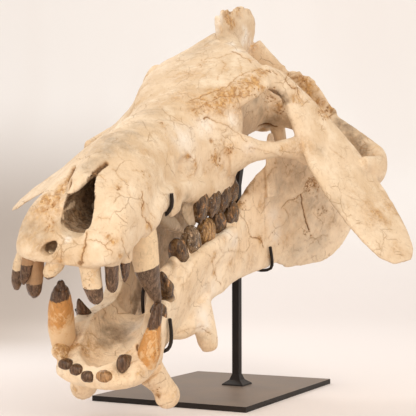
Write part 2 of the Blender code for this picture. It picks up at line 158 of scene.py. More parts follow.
def lamp(name, at, to, size, watts, colour):
    """A rectangular lamp, turned towards a place."""
    light = bpy.data.lights.new(name, "AREA")
    light.shape = "RECTANGLE"
    light.size, light.size_y = size
    light.energy = watts
    light.color = colour
    made = bpy.data.objects.new(name, light)
    bpy.context.scene.collection.objects.link(made)
    made.location = at
    made.rotation_euler = (Vector(to) - Vector(at)).to_track_quat("-Z", "Y").to_euler()


SHEET_FRONT, SHEET_BEND, SHEET_TOP = -3.0, 1.4, 4.5     # metres: its near edge, where it turns up, its top
SHEET_HALF_WIDTH, BEND_RADIUS, BEND_STEPS = 4.0, 1.2, 12
sheet_profile = [(SHEET_FRONT, 0.0), (SHEET_BEND, 0.0)]
for step in range(1, BEND_STEPS + 1):
    turn = step * math.pi / 2 / BEND_STEPS
    sheet_profile.append((SHEET_BEND + BEND_RADIUS * math.sin(turn),
                          BEND_RADIUS - BEND_RADIUS * math.cos(turn)))
sheet_profile.append((SHEET_BEND + BEND_RADIUS, SHEET_TOP))
sweep_mesh = bmesh.new()
sweep_rows = [[sweep_mesh.verts.new((x, y, z)) for x in (-SHEET_HALF_WIDTH, SHEET_HALF_WIDTH)]
              for y, z in sheet_profile]
for near, far in zip(sweep_rows, sweep_rows[1:]):
    sweep_mesh.faces.new((near[0], near[1], far[1], far[0])).smooth = True
backdrop = bpy.data.objects.new("backdrop", bpy.data.meshes.new("backdrop"))
sweep_mesh.to_mesh(backdrop.data)
sweep_mesh.free()
backdrop.rotation_euler = (0, 0, math.radians(HEADING))
bpy.context.scene.collection.objects.link(backdrop)
paper, paper_in, place = material("studio paper")
apart = Shade.node("SeparateXYZ", 0, Vector=place)
aside, deep, high = (Shade(apart.socket.node.outputs[k]) for k in range(3))
# painted shadow: the paper is mixed to a dark brown-grey low on the left, where the sheet turns up
painted_fold_shadow = between(aside, 0.05, -0.58) * between(high, 0.82, 0.22) * between(deep, 0.25, 0.85)
veil = between(noise(stretched(place, 1, 1, 0.12), 420, 2.0), 0.35, 0.65)
wall_paper = mixed(veil, (0.91, 0.86, 0.82), (0.94, 0.90, 0.865))
# painted light: the paper is mixed darker on the floor than up the wall, for the way the light falls on it
sheet = mixed(between(high, 0.0, 0.35), (0.85, 0.785, 0.75), wall_paper)
Shade.join(mixed(painted_fold_shadow, sheet, (0.50, 0.43, 0.375)), paper_in["Base Color"])
paper_in["Roughness"].default_value = 0.9
backdrop.data.materials.append(paper)

world = bpy.data.worlds.new("studio")
bpy.context.scene.world = world
world.use_nodes = True
sky = world.node_tree.nodes["Background"].inputs
sky["Color"].default_value = (1.0, 0.985, 0.97, 1.0)
sky["Strength"].default_value = 0.86
lamp("key", (1.5, -1.3, 1.5), (0.05, -0.15, 0.28), (0.8, 0.8), 17, (1.0, 0.89, 0.77))
lamp("rim", (-1.1, 0.5, 1.5), (0.0, -0.1, 0.35), (0.6, 0.8), 9, (1.0, 0.97, 0.94))
lamp("fill", (-0.1, -1.9, 0.35), (0.0, -0.2, 0.20), (1.1, 0.7), 8, (1.0, 0.94, 0.87))
lamp("wall", (-0.35, 1.1, 2.6), (-1.1, 2.4, 1.6), (2.2, 0.8), 5, (1.0, 0.96, 0.93))

# --- how the two halves hang --------------------------------------------------------------------------
# The cranium rests on the post and the palate rod, with its snout down by 19 degrees.
# The jaw hangs below it, turned open by 15 degrees about the place where its joint was.
HINGE = (430.0, 0.0, -10.0)                    # millimetres on the cranium's own axes: back, left, up


def spot(back, left, up):
    """A place on a bone's own axes: millimetres back from the snout tip, left, and up from the palate."""
    return Vector((left, back, up)) * MM


TO_BACK, TO_LEFT, TO_TOP = (1, 0, 0), (0, 1, 0), (0, 0, 1)      # on a bone's own axes
skull_pose = Euler([math.radians(a) for a in (19.14, 5.89, 2.80)], "YXZ").to_matrix().to_4x4()
skull_pose.translation = Vector((30.5, -386.0, 167.0)) * MM
jaw_pose = Euler([math.radians(a) for a in (14.89, -1.32, 0.03)]).to_matrix().to_4x4()
jaw_pose.translation = spot(*HINGE) + spot(0.6, 1.2, 4.0)
jaw_pose = skull_pose @ jaw_pose
jaw_pose.translation -= jaw_pose.to_3x3() @ spot(*HINGE)


# --- cranium ------------------------------------------------------------------------------------------
# The whole upper skull, one mineralised bone: lofted masses fused, hollowed for nose, eyes and palate,
# then pitted, ridged and cracked.  It sits on the post and on the rod under the palate.
def squared(value, power):
    """A sine or cosine pushed outwards, so that an oval grows corners; its sign is kept."""
    return math.copysign(abs(value) ** power, value)


class Form:
    """Closed bodies swept through oval sections on a bone's own axes, gathered into one mesh."""

    def __init__(self, name):
        self.name = name
        self.bm = bmesh.new()

    def rings(self, rings):
        """A closed body through rings of points, with a flat face at each end."""
        rows = [[self.bm.verts.new(p) for p in ring] for ring in rings]
        count = len(rows[0])
        faces = []
        for a, b in zip(rows, rows[1:]):
            for i in range(count):
                j = (i + 1) % count
                faces.append(self.bm.faces.new((a[i], a[j], b[j], b[i])))
        faces.append(self.bm.faces.new(rows[0][::-1]))
        faces.append(self.bm.faces.new(rows[-1]))
        bmesh.ops.recalc_face_normals(self.bm, faces=faces)

    def hull(self, stations, sides=44):
        """Body about the midline: (back, half width, top, widest at, bottom, how square above and below,
        shift to the left)."""
        rings = []
        for back, half, top, wide, bottom, above, below, *shift in smooth_steps(stations):
            ring = []
            for i in range(sides):
                angle = 2 * math.pi * i / sides
                c, s = math.cos(angle), math.sin(angle)
                power = 2 / (above if s > 0 else below)
                height = (top - wide) if s > 0 else (wide - bottom)
                left = half * squared(c, power) + sum(shift)
                ring.append(spot(back, left, wide + height * squared(s, power)))
            rings.append(ring)
        self.rings(rings)

    def limb(self, stations, lean, square=2.0, sides=24):
        """Body along a path: (back, left, up, half width towards lean, half thickness)."""
        stations = smooth_steps(stations)
        path = [spot(*s[:3]) for s in stations]
        lean = spot(*lean).normalized()
        rings = []
        for k, station in enumerate(stations):
            along = (path[min(k + 1, len(path) - 1)] - path[max(k - 1, 0)]).normalized()
            wide = (lean - along * lean.dot(along)).normalized()
            thick = along.cross(wide)
            ring = []
            for i in range(sides):
                angle = 2 * math.pi * i / sides
                a = station[3] * MM * squared(math.cos(angle), 2 / square)
                b = station[4] * MM * squared(math.sin(angle), 2 / square)
                ring.append(path[k] + wide * a + thick * b)
            rings.append(ring)
        self.rings(rings)

    def pair(self, stations, lean, square=2.0, sides=24):
        """The same limb on the left and on the right."""
        self.limb(stations, lean, square, sides)
        other = [(s[0], -s[1], *s[2:]) for s in stations]
        self.limb(other, (lean[0], -lean[1], lean[2]), square, sides)

    def object(self, pose):
        """The forms as one mesh, put where the bone hangs."""
        made = bpy.data.objects.new(self.name, bpy.data.meshes.new(self.name))
        self.bm.to_mesh(made.data)
        self.bm.free()
        made.data.transform(pose)
        made.data.polygons.foreach_set("use_smooth", [True] * len(made.data.polygons))
        bpy.context.scene.collection.objects.link(made)
        return made


def smooth_steps(stations, cuts=3):
    """The same stations with eased ones between them, so that a loft runs in curves."""
    width = max(len(s) for s in stations)
    rows = [np.array([*s, *([0.0] * (width - len(s)))], float) for s in stations]
    out = []
    for k in range(len(rows) - 1):
        a, b = rows[k], rows[k + 1]
        before, after = rows[max(k - 1, 0)], rows[min(k + 2, len(rows) - 1)]
        for t in (i / cuts for i in range(cuts)):
            ease = 0.5 * ((2 * a) + (b - before) * t + (2 * before - 5 * a + 4 * b - after) * t * t
                          + (3 * a - before - 3 * b + after) * t ** 3)
            straight = a + (b - a) * t
            out.append(0.6 * ease + 0.4 * straight)
    return [*[list(r) for r in out], list(rows[-1])]


def settle(thing):
    """Turn the modified shape into the mesh itself."""
    bpy.context.view_layer.update()
    graph = bpy.context.evaluated_depsgraph_get()
    mesh = bpy.data.meshes.new_from_object(thing.evaluated_get(graph), depsgraph=graph)
    thing.modifiers.clear()
    thing.data = mesh


def fuse(thing, voxel):
    """Make everything in a mesh one skin."""
    step = thing.modifiers.new("one skin", "REMESH")
    step.mode = "VOXEL"
    step.use_smooth_shade = True
    step.voxel_size = voxel * MM
    settle(thing)


def combine(thing, form, what, pose):
    """Add a form to a bone or carve it away."""
    other = form.object(pose)
    step = thing.modifiers.new("shape", "BOOLEAN")
    step.operation = what
    step.solver = "MANIFOLD"
    step.object = other
    settle(thing)
    bpy.data.objects.remove(other, do_unlink=True)


def even_out(thing, times):
    """Smooth a skin a few times over."""
    step = thing.modifiers.new("even", "SMOOTH")
    step.iterations = times
    step.factor = 0.5
    settle(thing)


def lumps(places, size, seed, octaves=1):
    """Smooth random heights from -1 to 1, in lumps about so many millimetres across."""
    across = 32
    table = np.random.default_rng(seed).random((across, across, across))
    total = np.zeros(len(places))
    for octave in range(octaves):
        grid = places / (size * MM) * 2 ** octave + 7.3 * (octave + 1)
        cell = np.floor(grid).astype(int)
        share = grid - cell
        share = share * share * (3 - 2 * share)
        for corner in range(8):
            step = np.array([corner & 1, corner >> 1 & 1, corner >> 2 & 1])
            i, j, k = ((cell + step) % across).T
            nearness = np.prod(np.where(step, share, 1 - share), axis=1)
            total += nearness * (table[i, j, k] * 2 - 1) * 0.5 ** octave
    return total


def ramp(values, start, width):
    """0 up to start, then rising to 1 over the width."""
    return np.clip((values - start) / width, 0, 1)


class Surface:
    """A bone's skin while it is worked: cracks, pits, dents, stains and painted shade and highlights, laid
    on from where one stands.
    """

    def __init__(self, thing, pose, seed):
        self.thing, self.pose = thing, pose
        self.random = np.random.default_rng(seed)
        self.tree = BVHTree.FromObject(thing, bpy.context.evaluated_depsgraph_get())
        self.nicks, self.marks, self.dents, self.rooms = [], [], [], []

    def land(self, x, y):
        """The place on this bone behind a place in the camera's frame."""
        return self.tree.ray_cast(eye.location, sight(x, y))[0]

    def crack(self, half, depth, *corners, bent=0.16):
        """A crack through corners in the frame, half so many millimetres wide and so deep."""
        dark = min(1.0, 0.28 + half * 0.6)
        path = [np.array(c, float) for c in corners]
        for _ in range(3):
            bends = [path[0]]
            for a, b in zip(path, path[1:]):
                along = b - a
                side = np.array([-along[1], along[0]]) * self.random.uniform(-bent, bent)
                bends += [(a + b) / 2 + side, b] if np.hypot(*along) > 2 else [b]
            path = bends
        spacing = 0.6
        for a, b in zip(path, path[1:]):
            steps = max(1, int(np.hypot(*(b - a)) / spacing))
            for k in range(steps):
                place = self.land(*(a + (b - a) * k / steps))
                if place:
                    self.nicks.append((place, half * self.random.uniform(0.7, 1.2), depth, dark))

    def pits(self, x, y, radius, count, half, depth=0.7):
        """A scatter of small pits round a place in the frame."""
        for _ in range(count):
            turn = self.random.uniform(0, 2 * math.pi)
            out = radius * math.sqrt(self.random.random())
            place = self.land(x + out * math.cos(turn), y + out * math.sin(turn))
            if place:
                wide, dark = half * self.random.uniform(0.6, 1.5), self.random.uniform(0.3, 0.9)
                self.nicks.append((place, wide, depth, dark))

    def mark(self, kind, strength, *blobs):
        """A stain, painted shade or painted highlight of a kind at each (x, y, radius) in the frame."""
        for x, y, radius in blobs:
            place = self.land(x, y)
            if place:
                step = (place - eye.location).length * eye.data.sensor_width / eye.data.lens / FRAME
                self.marks.append((kind, place, radius * step, strength))

    def dent(self, depth, radius, *places):
        """A soft hollow (or with a negative depth a swelling) in millimetres, at places in the frame."""
        for x, y in places:
            place = self.land(x, y)
            if place:
                self.dents.append((place, radius * MM, depth * MM))

    def room(self, kind, strength, low, high, lid=2.0):
        """Painted shade of a kind all over a hollow, between two corners on the bone's own axes; a lid below
        1 leaves out what faces up."""
        self.rooms.append((kind, strength, np.array(low), np.array(high), lid))

    def points(self):
        """Where the skin's points are, and which way the skin faces there."""
        points = self.thing.data.vertices
        places, facing = np.empty(len(points) * 3), np.empty(len(points) * 3)
        points.foreach_get("co", places)
        points.foreach_get("normal", facing)
        return places.reshape(-1, 3), facing.reshape(-1, 3)

    def move(self, places):
        """Put the skin's points there."""
        self.thing.data.vertices.foreach_set("co", places.ravel())

    def note(self, kind, values):
        """Write a value down at each point, for the material to read."""
        self.thing.data.attributes.new(kind, "FLOAT", "POINT").data.foreach_set("value", values)

    def own(self, places):
        """Places as (back, left, up) in millimetres on the bone's own axes."""
        turn = np.array(self.pose.inverted())
        own = (places @ turn[:3, :3].T + turn[:3, 3]) / MM
        return own[:, [1, 0, 2]]

    def near(self, reach):
        """Every point within reach of a nick, with how far away it is and which nick."""
        places, _ = self.points()
        tree = kdtree.KDTree(len(places))
        for k, place in enumerate(places):
            tree.insert(place, k)
        tree.balance()
        for nick in self.nicks:
            for _, point, away in tree.find_range(nick[0], reach * MM):
                yield point, away / MM, nick

    def cut_finer(self, reach):
        """Split the faces near a nick, so that it has points to run through."""
        touched = {point for point, _, _ in self.near(reach)}
        bm = bmesh.new()
        bm.from_mesh(self.thing.data)
        faces = [f for f in bm.faces if all(v.index in touched for v in f.verts)]
        edges = list({edge for face in faces for edge in face.edges})
        bmesh.ops.subdivide_edges(bm, edges=edges, cuts=1, use_grid_fill=True)
        bm.to_mesh(self.thing.data)
        bm.free()

    def work(self, ragged):
        """Cut the nicks, press the dents and note the stains and painted shade.  ragged gives a height for
        each point.
        """
        for reach in (3.4, 2.0):
            self.cut_finer(reach)
        places, facing = self.points()
        waves = 0.7 * lumps(places, 30, 3, 2) + 0.30 * lumps(places, 8, 5, 2) + 0.13 * lumps(places, 3, 6)
        height = MM * waves + ragged(self.own(places), places) * MM
        for place, radius, depth in self.dents:
            away = np.linalg.norm(places - np.array(place), axis=1)
            height -= depth * np.exp(-(away / radius) ** 2)
        reach, fringe = 3.0, 1.7
        cut, crack, halo, smoke, brown, pale = np.zeros((6, len(places)))
        for point, away, (_, half, depth, dark) in self.near(reach):
            inside = math.exp(-(away / half) ** 2)
            cut[point] = max(cut[point], depth * inside)
            crack[point] = max(crack[point], dark * inside)
            halo[point] = max(halo[point], dark * math.exp(-(away / fringe) ** 2))
        places += facing * (height - cut * MM)[:, None]
        self.move(places)
        stains_and_shading = {"crack": crack, "ochre": halo * 0.5, "smoke": smoke, "brown": brown, "pale": pale}
        uneven = 1 + 0.4 * lumps(places, 8, 11, 2)
        for kind, place, radius, strength in self.marks:
            away = np.linalg.norm(places - np.array(place), axis=1) / (radius * uneven)
            stains_and_shading[kind] = 1 - (1 - stains_and_shading[kind]) * (1 - strength * np.exp(-0.9 * away ** 2))
        own = self.own(places)
        faces_up = facing @ np.array(self.pose.inverted())[2, :3]
        for kind, strength, low, high, lid in self.rooms:
            inside = np.all((own > low) & (own < high), axis=1) & (faces_up < lid)
            stains_and_shading[kind] = np.maximum(stains_and_shading[kind], strength * inside)
        for kind, values in stains_and_shading.items():
            self.note(kind, values)
        self.thing.data.update()


def written(name):
    """A value that was noted at the surface's points."""
    return Shade.node("Attribute", 2, {"attribute_name": name})


def bone_finish(name, cream, tan):
    """Dry fossil bone: cream and tan clouds, ochre and smoky stains, hair cracks, specks and a dull skin,
    with painted shade in hollows and on faces turned from the light, and painted highlights on lit edges.
    """
    pale_bone, warm_cream, tan_cloud, tan_streak = (
        (0.90, 0.81, 0.69), (0.87, 0.725, 0.54), (0.60, 0.41, 0.235), (0.56, 0.37, 0.205))
    dark_rust, light_rust = (0.40, 0.19, 0.055), (0.60, 0.34, 0.12)
    dark_soot_shade, light_soot_shade = (0.27, 0.19, 0.12), (0.40, 0.29, 0.19)
    dark_hollow_shade, light_hollow_shade = (0.13, 0.072, 0.034), (0.27, 0.16, 0.08)
    hair_brown, speck_brown = (0.40, 0.22, 0.09), (0.42, 0.235, 0.095)
    crack_side, crack_bottom = (0.33, 0.165, 0.06), (0.10, 0.052, 0.024)
    made, into, place = material(name)
    # the bone's own colours
    colour = mixed(between(noise(place, 85, 3), 0.38, 0.62), cream, tan)
    colour = mixed(between(noise(place, 24, 4, 0.6), 0.44, 0.70) * 0.6, colour, warm_cream)
    colour = mixed(between(noise(place, 13, 5, 0.65, 0.5), 0.50, 0.72) * 0.40, colour, tan_cloud)
    streaks = between(noise(stretched(place, 1, 1, 0.35), 6, 5, 0.65, 0.4), 0.50, 0.78)
    colour = mixed(streaks * 0.42, colour, tan_streak)
    # pale marks: plaster and paler bone on the jaw, and painted highlight on the crest's lit faces and a lit
    # rim by the nose
    colour = mixed((written("pale") * between(noise(place, 5, 3), 0.0, 0.45)).clip(), colour, pale_bone)
    # stains, and painted shade in the smoke and brown marks
    cloud = between(noise(place, 6.5, 6, 0.70, 0.8), 0.36, 0.60)
    stray = between(noise(place, 42, 4, 0.6), 0.56, 0.72) * 0.55
    rust = ((written("ochre") * 1.5 + stray) * (cloud * 0.75 + 0.25)).clip()
    rust_colour = mixed(between(noise(place, 3.5, 4), 0.42, 0.62), dark_rust, light_rust)
    colour = mixed(rust * 0.92, colour, rust_colour)
    # smoke marks: soot stains and painted shade, mixed in as a greyish brown
    soot_and_shade = (written("smoke") * (between(noise(place, 18, 5, 0.62, 0.6), 0.25, 0.66) * 0.6 + 0.4)).clip()
    soot_and_shade_colour = mixed(between(noise(place, 4, 4), 0.4, 0.65), dark_soot_shade, light_soot_shade)
    colour = mixed(soot_and_shade * 0.92, colour, soot_and_shade_colour)
    # brown marks: painted shade deep in hollows and gaps, dark brown with streaks
    hollow_shade_streaks = between(noise(stretched(place, 1, 0.3, 1), 2.6, 4), 0.4, 0.65)
    hollow_shade_colour = mixed(hollow_shade_streaks, dark_hollow_shade, light_hollow_shade)
    colour = mixed((written("brown") * (cloud * 0.3 + 0.7)).clip(), colour, hollow_shade_colour)
    # hair cracks, specks and cut cracks
    wander = Shade.node("TexNoise", 1, Vector=place, Scale=70.0, Detail=3.0)
    bent = Shade.node("VectorMath", settings={"operation": "ADD"}, _0=place,
                      _1=stretched(wander, 0.012, 0.012, 0.012))
    wide_net = (1 - between(crazing(bent, 34.0), 0.0, 0.022)) * between(noise(place, 30, 2), 0.48, 0.60)
    fine_net = (1 - between(crazing(bent, 95.0), 0.0, 0.03)) * between(noise(place, 17, 2), 0.52, 0.66)
    hair = (wide_net + fine_net * 0.7).clip()
    colour = mixed(hair * 0.55, colour, hair_brown)
    speck = between(noise(place, 1.6, 2, 0.5), 0.62, 0.74) * between(noise(place, 26, 3), 0.42, 0.60)
    colour = mixed(speck * 0.55, colour, speck_brown)
    crack = written("crack")
    colour = mixed(between(crack, 0.08, 0.60) * 0.75, colour, crack_side)
    colour = mixed(between(crack, 0.50, 1.0) * 0.8, colour, crack_bottom)
    Shade.join(colour, into["Base Color"])
    Shade.join(0.56 + noise(place, 4, 3) * 0.22 + speck * 0.1, into["Roughness"])
    grain = (noise(place, 1.5, 4, 0.6) * 0.4 + noise(stretched(place, 1, 1, 0.3), 3.4, 5, 0.65) * 0.8
             + noise(place, 11, 5, 0.6) * 1.2 - hair * 0.35 - speck * 0.4)
    Shade.join(Shade.node("Bump", Height=grain, Strength=0.85, Distance=0.0016), into["Normal"])
    into["Specular IOR Level"].default_value = 0.35
    return made


FINE = 1.5             # millimetres between the points of a bone's skin

skull = Form("cranium_bone")
# muzzle, face and palate
skull.hull([(-12, 38, 17, 9, 4, 2.6, 2.4, -1), (-5, 49, 24, 12, 1, 3.4, 3.4, -1),
            (6, 54, 33, 15, 0, 4, 4, 0), (15, 55, 46, 20, 0, 3.8, 4, 1), (24, 55, 57, 24, 0, 3.2, 4, 2),
            (38, 54, 68, 28, 2, 2.5, 4, 2), (62, 53, 80, 34, 7, 2.2, 4, 2), (92, 50, 90, 38, 17, 2.2, 4, 2),
            (130, 45, 97, 42, 23, 2.2, 4), (170, 45, 103, 46, 20, 2.2, 4), (210, 51, 107, 48, 12, 2.2, 4),
            (245, 60, 115, 56, 6, 2.2, 4, 2), (272, 66, 123, 70, 8, 2.3, 3, 4),
            (292, 64, 127, 80, 14, 2.2, 2.4, 5)])
# walls between the eyes and round the brain
skull.hull([(250, 45, 110, 60, 6, 2, 3), (290, 38, 128, 60, 6, 2, 3), (320, 34, 136, 60, 10, 2, 3),
            (350, 33, 142, 65, 16, 2, 3), (380, 36, 146, 75, 20, 2, 2.4), (410, 42, 140, 80, 22, 2, 2.4),
            (440, 46, 130, 80, 22, 2, 2.4), (470, 46, 118, 78, 20, 2, 2.4), (492, 40, 100, 72, 18, 2, 2),
            (505, 25, 86, 68, 30, 2, 2)])
# frontal shelf over the eyes
skull.hull([(240, 48, 113, 90, 70, 2.2, 2, 2), (270, 62, 123, 98, 76, 2.2, 2, 5),
            (300, 74, 132, 106, 90, 2.1, 2, 10), (322, 80, 138, 111, 101, 2.1, 2, 12),
            (345, 76, 144, 117, 106, 2.1, 2, 10), (365, 58, 150, 126, 110, 2.1, 2, 5),
            (388, 38, 158, 137, 114, 2, 2), (412, 24, 163, 144, 120, 2, 2)])
# sagittal crest
skull.limb([(396, 0, 156, 26, 5), (406, 0, 157, 33, 6), (440, 0, 154, 34, 6), (470, 0, 149, 41, 7),
            (488, 0, 140, 42, 8), (497, 0, 134, 34, 8)], TO_TOP, square=3.4)
# nuchal crest, running out on to the root of the cheek arch
skull.pair([(490, 2, 128, 22, 9), (494, 14, 112, 23, 9), (492, 34, 94, 23, 8), (487, 58, 79, 22, 6),
            (476, 82, 78, 23, 6), (470, 104, 54, 20, 7), (464, 126, 33, 17, 8), (456, 150, 20, 16, 9)],
           (0, 0.3, 1))
# back of the skull and the two condyles it turned on
skull.hull([(482, 58, 100, 72, 40, 2, 2), (497, 50, 96, 70, 42, 2, 2), (506, 30, 88, 68, 50, 2, 2)])
skull.pair([(478, 22, 34, 14, 14), (496, 24, 32, 15, 14), (508, 24, 30, 11, 10)], TO_TOP)
# ear region and the paroccipital processes
skull.pair([(470, 44, 50, 14, 14), (474, 50, 20, 12, 9), (478, 54, -12, 8, 6)], TO_BACK)
# root and rear of the cheek arch
skull.pair([(462, 34, 54, 26, 18), (468, 62, 54, 24, 16), (468, 95, 44, 22, 14), (462, 128, 30, 20, 14),
            (452, 160, 16, 18, 14), (436, 188, 2, 19, 13), (410, 198, -4, 19, 11), (380, 184, 4, 17, 9)],
           (0, 0.2, 1))
# jaw joint under the arch
skull.pair([(440, 84, 38, 14, 13), (444, 108, 36, 16, 14), (444, 132, 31, 12, 12)], TO_BACK)
# cheek bone: bar under the eye
skull.pair([(258, 58, 44, 26, 14), (276, 73, 46, 20, 12), (292, 86, 43, 12, 9), (312, 99, 40, 9, 8)],
           TO_TOP)
skull.limb([(312, 99, 40, 9, 8), (332, 115, 38, 13, 9), (350, 132, 32, 20, 9)], TO_TOP)
skull.limb([(312, -99, 40, 9, 8), (334, -110, 36, 13, 9), (352, -124, 28, 20, 9)], TO_TOP)
# bar behind the eye widening into the great cheek flange; the right one is crushed in and splayed
skull.limb([(338, 76, 120, 16, 12), (350, 88, 112, 17, 9), (360, 103, 94, 20, 8), (364, 119, 73, 27, 8),
            (362, 136, 48, 36, 8), (359, 156, 20, 44, 8), (351, 180, -8, 47, 7), (338, 206, -36, 44, 6),
            (325, 227, -58, 39, 6), (316, 243, -74, 29, 5), (311, 251, -83, 16, 3)], (0.914, 0.405, 0),
           square=2.6, sides=40)
skull.limb([(342, -62, 116, 16, 12), (352, -74, 108, 17, 9), (361, -88, 90, 18, 8), (365, -104, 68, 23, 8),
            (363, -126, 44, 32, 8), (357, -152, 22, 41, 8), (345, -182, 0, 46, 7), (330, -212, -22, 42, 6),
            (318, -238, -39, 34, 6), (308, -256, -53, 25, 5), (304, -265, -60, 14, 3)], (0.914, -0.405, 0),
           square=2.6, sides=40)
# alveolar rims
skull.pair([(60, 44, 20, 13, 13), (80, 46, 25, 14, 14), (96, 48, 33, 12, 10), (112, 48, 34, 13, 9),
            (130, 47, 32, 12, 9), (160, 48, 28, 12, 8), (200, 50, 19, 14, 8), (245, 52, 12, 14, 8),
            (278, 52, 10, 12, 8), (297, 49, 12, 9, 6)], TO_TOP)
# swellings over the front teeth's roots, and the rim by the second premolar
root_swellings = (
    ((9, 22, 34, 8, 8), (5, 22, 16, 10.5, 9), (4, 23, 2, 11.5, 9.6), (4, 23, -3, 9.5, 8)),
    ((17, 41, 30, 7, 7), (14, 41, 12, 8, 8.6), (13.5, 41, -1, 8, 8.4)),
    ((32, 47, 30, 6, 7), (30, 47, 8, 6.4, 8.4), (30, 46.5, -4, 5.2, 7.4)),
    ((10, -13, 26, 8, 8), (5, -15, 8, 10, 9), (4, -17, -1, 9.6, 8.4)),
    ((14, -38, 30, 8, 8), (10, -39, 8, 9.4, 9), (9, -40, -3, 9, 8.6)),
    ((28, -47, 30, 7, 7), (24, -52, 8, 7.6, 9), (22, -56, -3, 7.2, 8.4)))
for swelling in root_swellings:
    skull.limb(swelling, TO_LEFT)
skull.limb([(117, 52, 24, 7, 4), (124, 52, 21, 9, 5), (136, 52, 21, 9, 5), (144, 52, 25, 6, 4)], TO_TOP)
# a broken piece of the tooth row's rim, hanging down inside it
skull.limb([(174, 47, 34, 8, 3), (176, 46, 24, 12, 3), (180, 46, 10, 19, 3.2), (183, 46, 0, 17, 3.2),
            (187, 46, -9, 12, 3), (195, 46, -17, 4, 2.4)], TO_BACK)
# pterygoid wings
skull.pair([(300, 30, 10, 16, 8), (330, 26, 2, 22, 5), (365, 24, 4, 22, 4), (395, 24, 16, 14, 5)], TO_TOP)
cranium = skull.object(skull_pose)
fuse(cranium, FINE)

nose = Form("nose")
nose.hull([(-30, 16, 84, 43, 27, 1.5, 3, 8), (20, 16, 84, 43, 27, 1.5, 3, 7),
           (34, 15, 80, 44, 27, 1.5, 3, 6), (46, 14, 78, 44, 27, 1.5, 3, 5),
           (80, 14, 74, 46, 28, 1.8, 2.4, 3), (120, 12, 72, 50, 34, 2, 2), (150, 6, 64, 50, 40, 2, 2)])
combine(cranium, nose, "DIFFERENCE", skull_pose)
sockets = Form("eye_sockets")
sockets.limb([(349, 40, 82, 24, 22), (338, 60, 82, 26, 24), (323, 88, 82, 27, 25), (306, 122, 80, 29, 27)],
             (0.2, 0.1, 1))
sockets.limb([(352, -30, 80, 24, 22), (345, -46, 80, 26, 24), (334, -72, 79, 27, 25),
              (318, -106, 77, 29, 27)], (0.2, -0.1, 1))
combine(cranium, sockets, "DIFFERENCE", skull_pose)
palate = Form("palate")
palate.hull([(80, 10, 16, 0, -20, 2, 2), (105, 28, 24, 0, -20, 2, 2), (150, 33, 34, 0, -20, 2, 2),
             (200, 37, 32, 0, -20, 2, 2), (300, 38, 24, 0, -20, 2, 2), (330, 18, 20, 0, -20, 2, 2)])
combine(cranium, palate, "DIFFERENCE", skull_pose)
foramen = Form("incisive_foramen")
foramen.limb([(-24, -12, 17, 8.5, 5.4), (0, -11, 17, 8.5, 5.2), (9, -10, 18, 6, 3.6)], (0, 1, 0.6))
combine(cranium, foramen, "DIFFERENCE", skull_pose)
# nasal bones reaching out over the nose opening
nasals = Form("nasals")
nasals.limb([(21, -4, 61, 3, 3), (32, -4, 66, 7, 5), (50, -3, 73, 11, 7), (70, -1, 80, 14, 8),
             (100, 1, 87, 20, 9), (130, 0, 91, 20, 9)], TO_LEFT)
combine(cranium, nasals, "UNION", skull_pose)
fuse(cranium, FINE)
even_out(cranium, times=3)

face = Surface(cranium, skull_pose, seed=7)
# a crack is half its width and its depth in millimetres, then its corners in the frame; pits are the
# place, the radius, how many, half the width and the depth; a mark (stain, painted shade or painted
# highlight) is its kind and strength, then places with their radius; a hollow is its depth and radius in
# millimetres, then its places

# sutures and cracks of the muzzle
muzzle_cracks = (
    (0.8, 1.2, (86.6, 233), (85.8, 245), (84, 251.5), (81.7, 258), (81, 263)),
    (0.5, 0.6, (88, 240), (96.4, 240), (104.6, 245), (112.7, 251.5), (112, 256)),
    (0.45, 0.5, (104.6, 245), (112.7, 239.5)),
    (0.5, 0.6, (61, 253), (60.5, 264.6)),
    (0.45, 0.5, (54, 259.7), (61, 264.6)),
    (0.8, 0.9, (142, 192), (142, 214), (146, 221), (151, 231)),
    (0.4, 0.4, (146, 203), (151, 214), (155, 219)),
    (0.45, 0.5, (112.7, 168), (118, 175), (124, 181), (129, 186)),
    (0.35, 0.3, (96.4, 219), (104.6, 218), (110, 219)),
    (0.45, 0.5, (94.8, 172), (101, 176), (106, 182)),
    (0.35, 0.3, (33, 208), (38, 212), (45, 212), (49, 219)),
    # cut in as a crack and darkened as painted shade in the gap between the third incisor and the canine
    (0.5, 0.5, (122, 238), (123, 246), (126, 253), (130, 259)),
    (0.3, 0.3, (126, 181), (128, 188), (130, 195)),
    (0.3, 0.3, (133, 170), (140, 172), (146, 171)))
for line in muzzle_cracks:
    face.crack(*line)
nasal_grooves = (
    (1.7, 4.0, (107, 162), (100, 168), (95, 173), (92, 181), (90, 189)),
    (2.4, 5.0, (73, 167), (71, 175), (69, 184), (67, 190)))
for line in nasal_grooves:
    face.crack(*line, bent=0.06)
muzzle_dimples = (52, 250), (62, 242)
face.dent(1.2, 5, *muzzle_dimples)
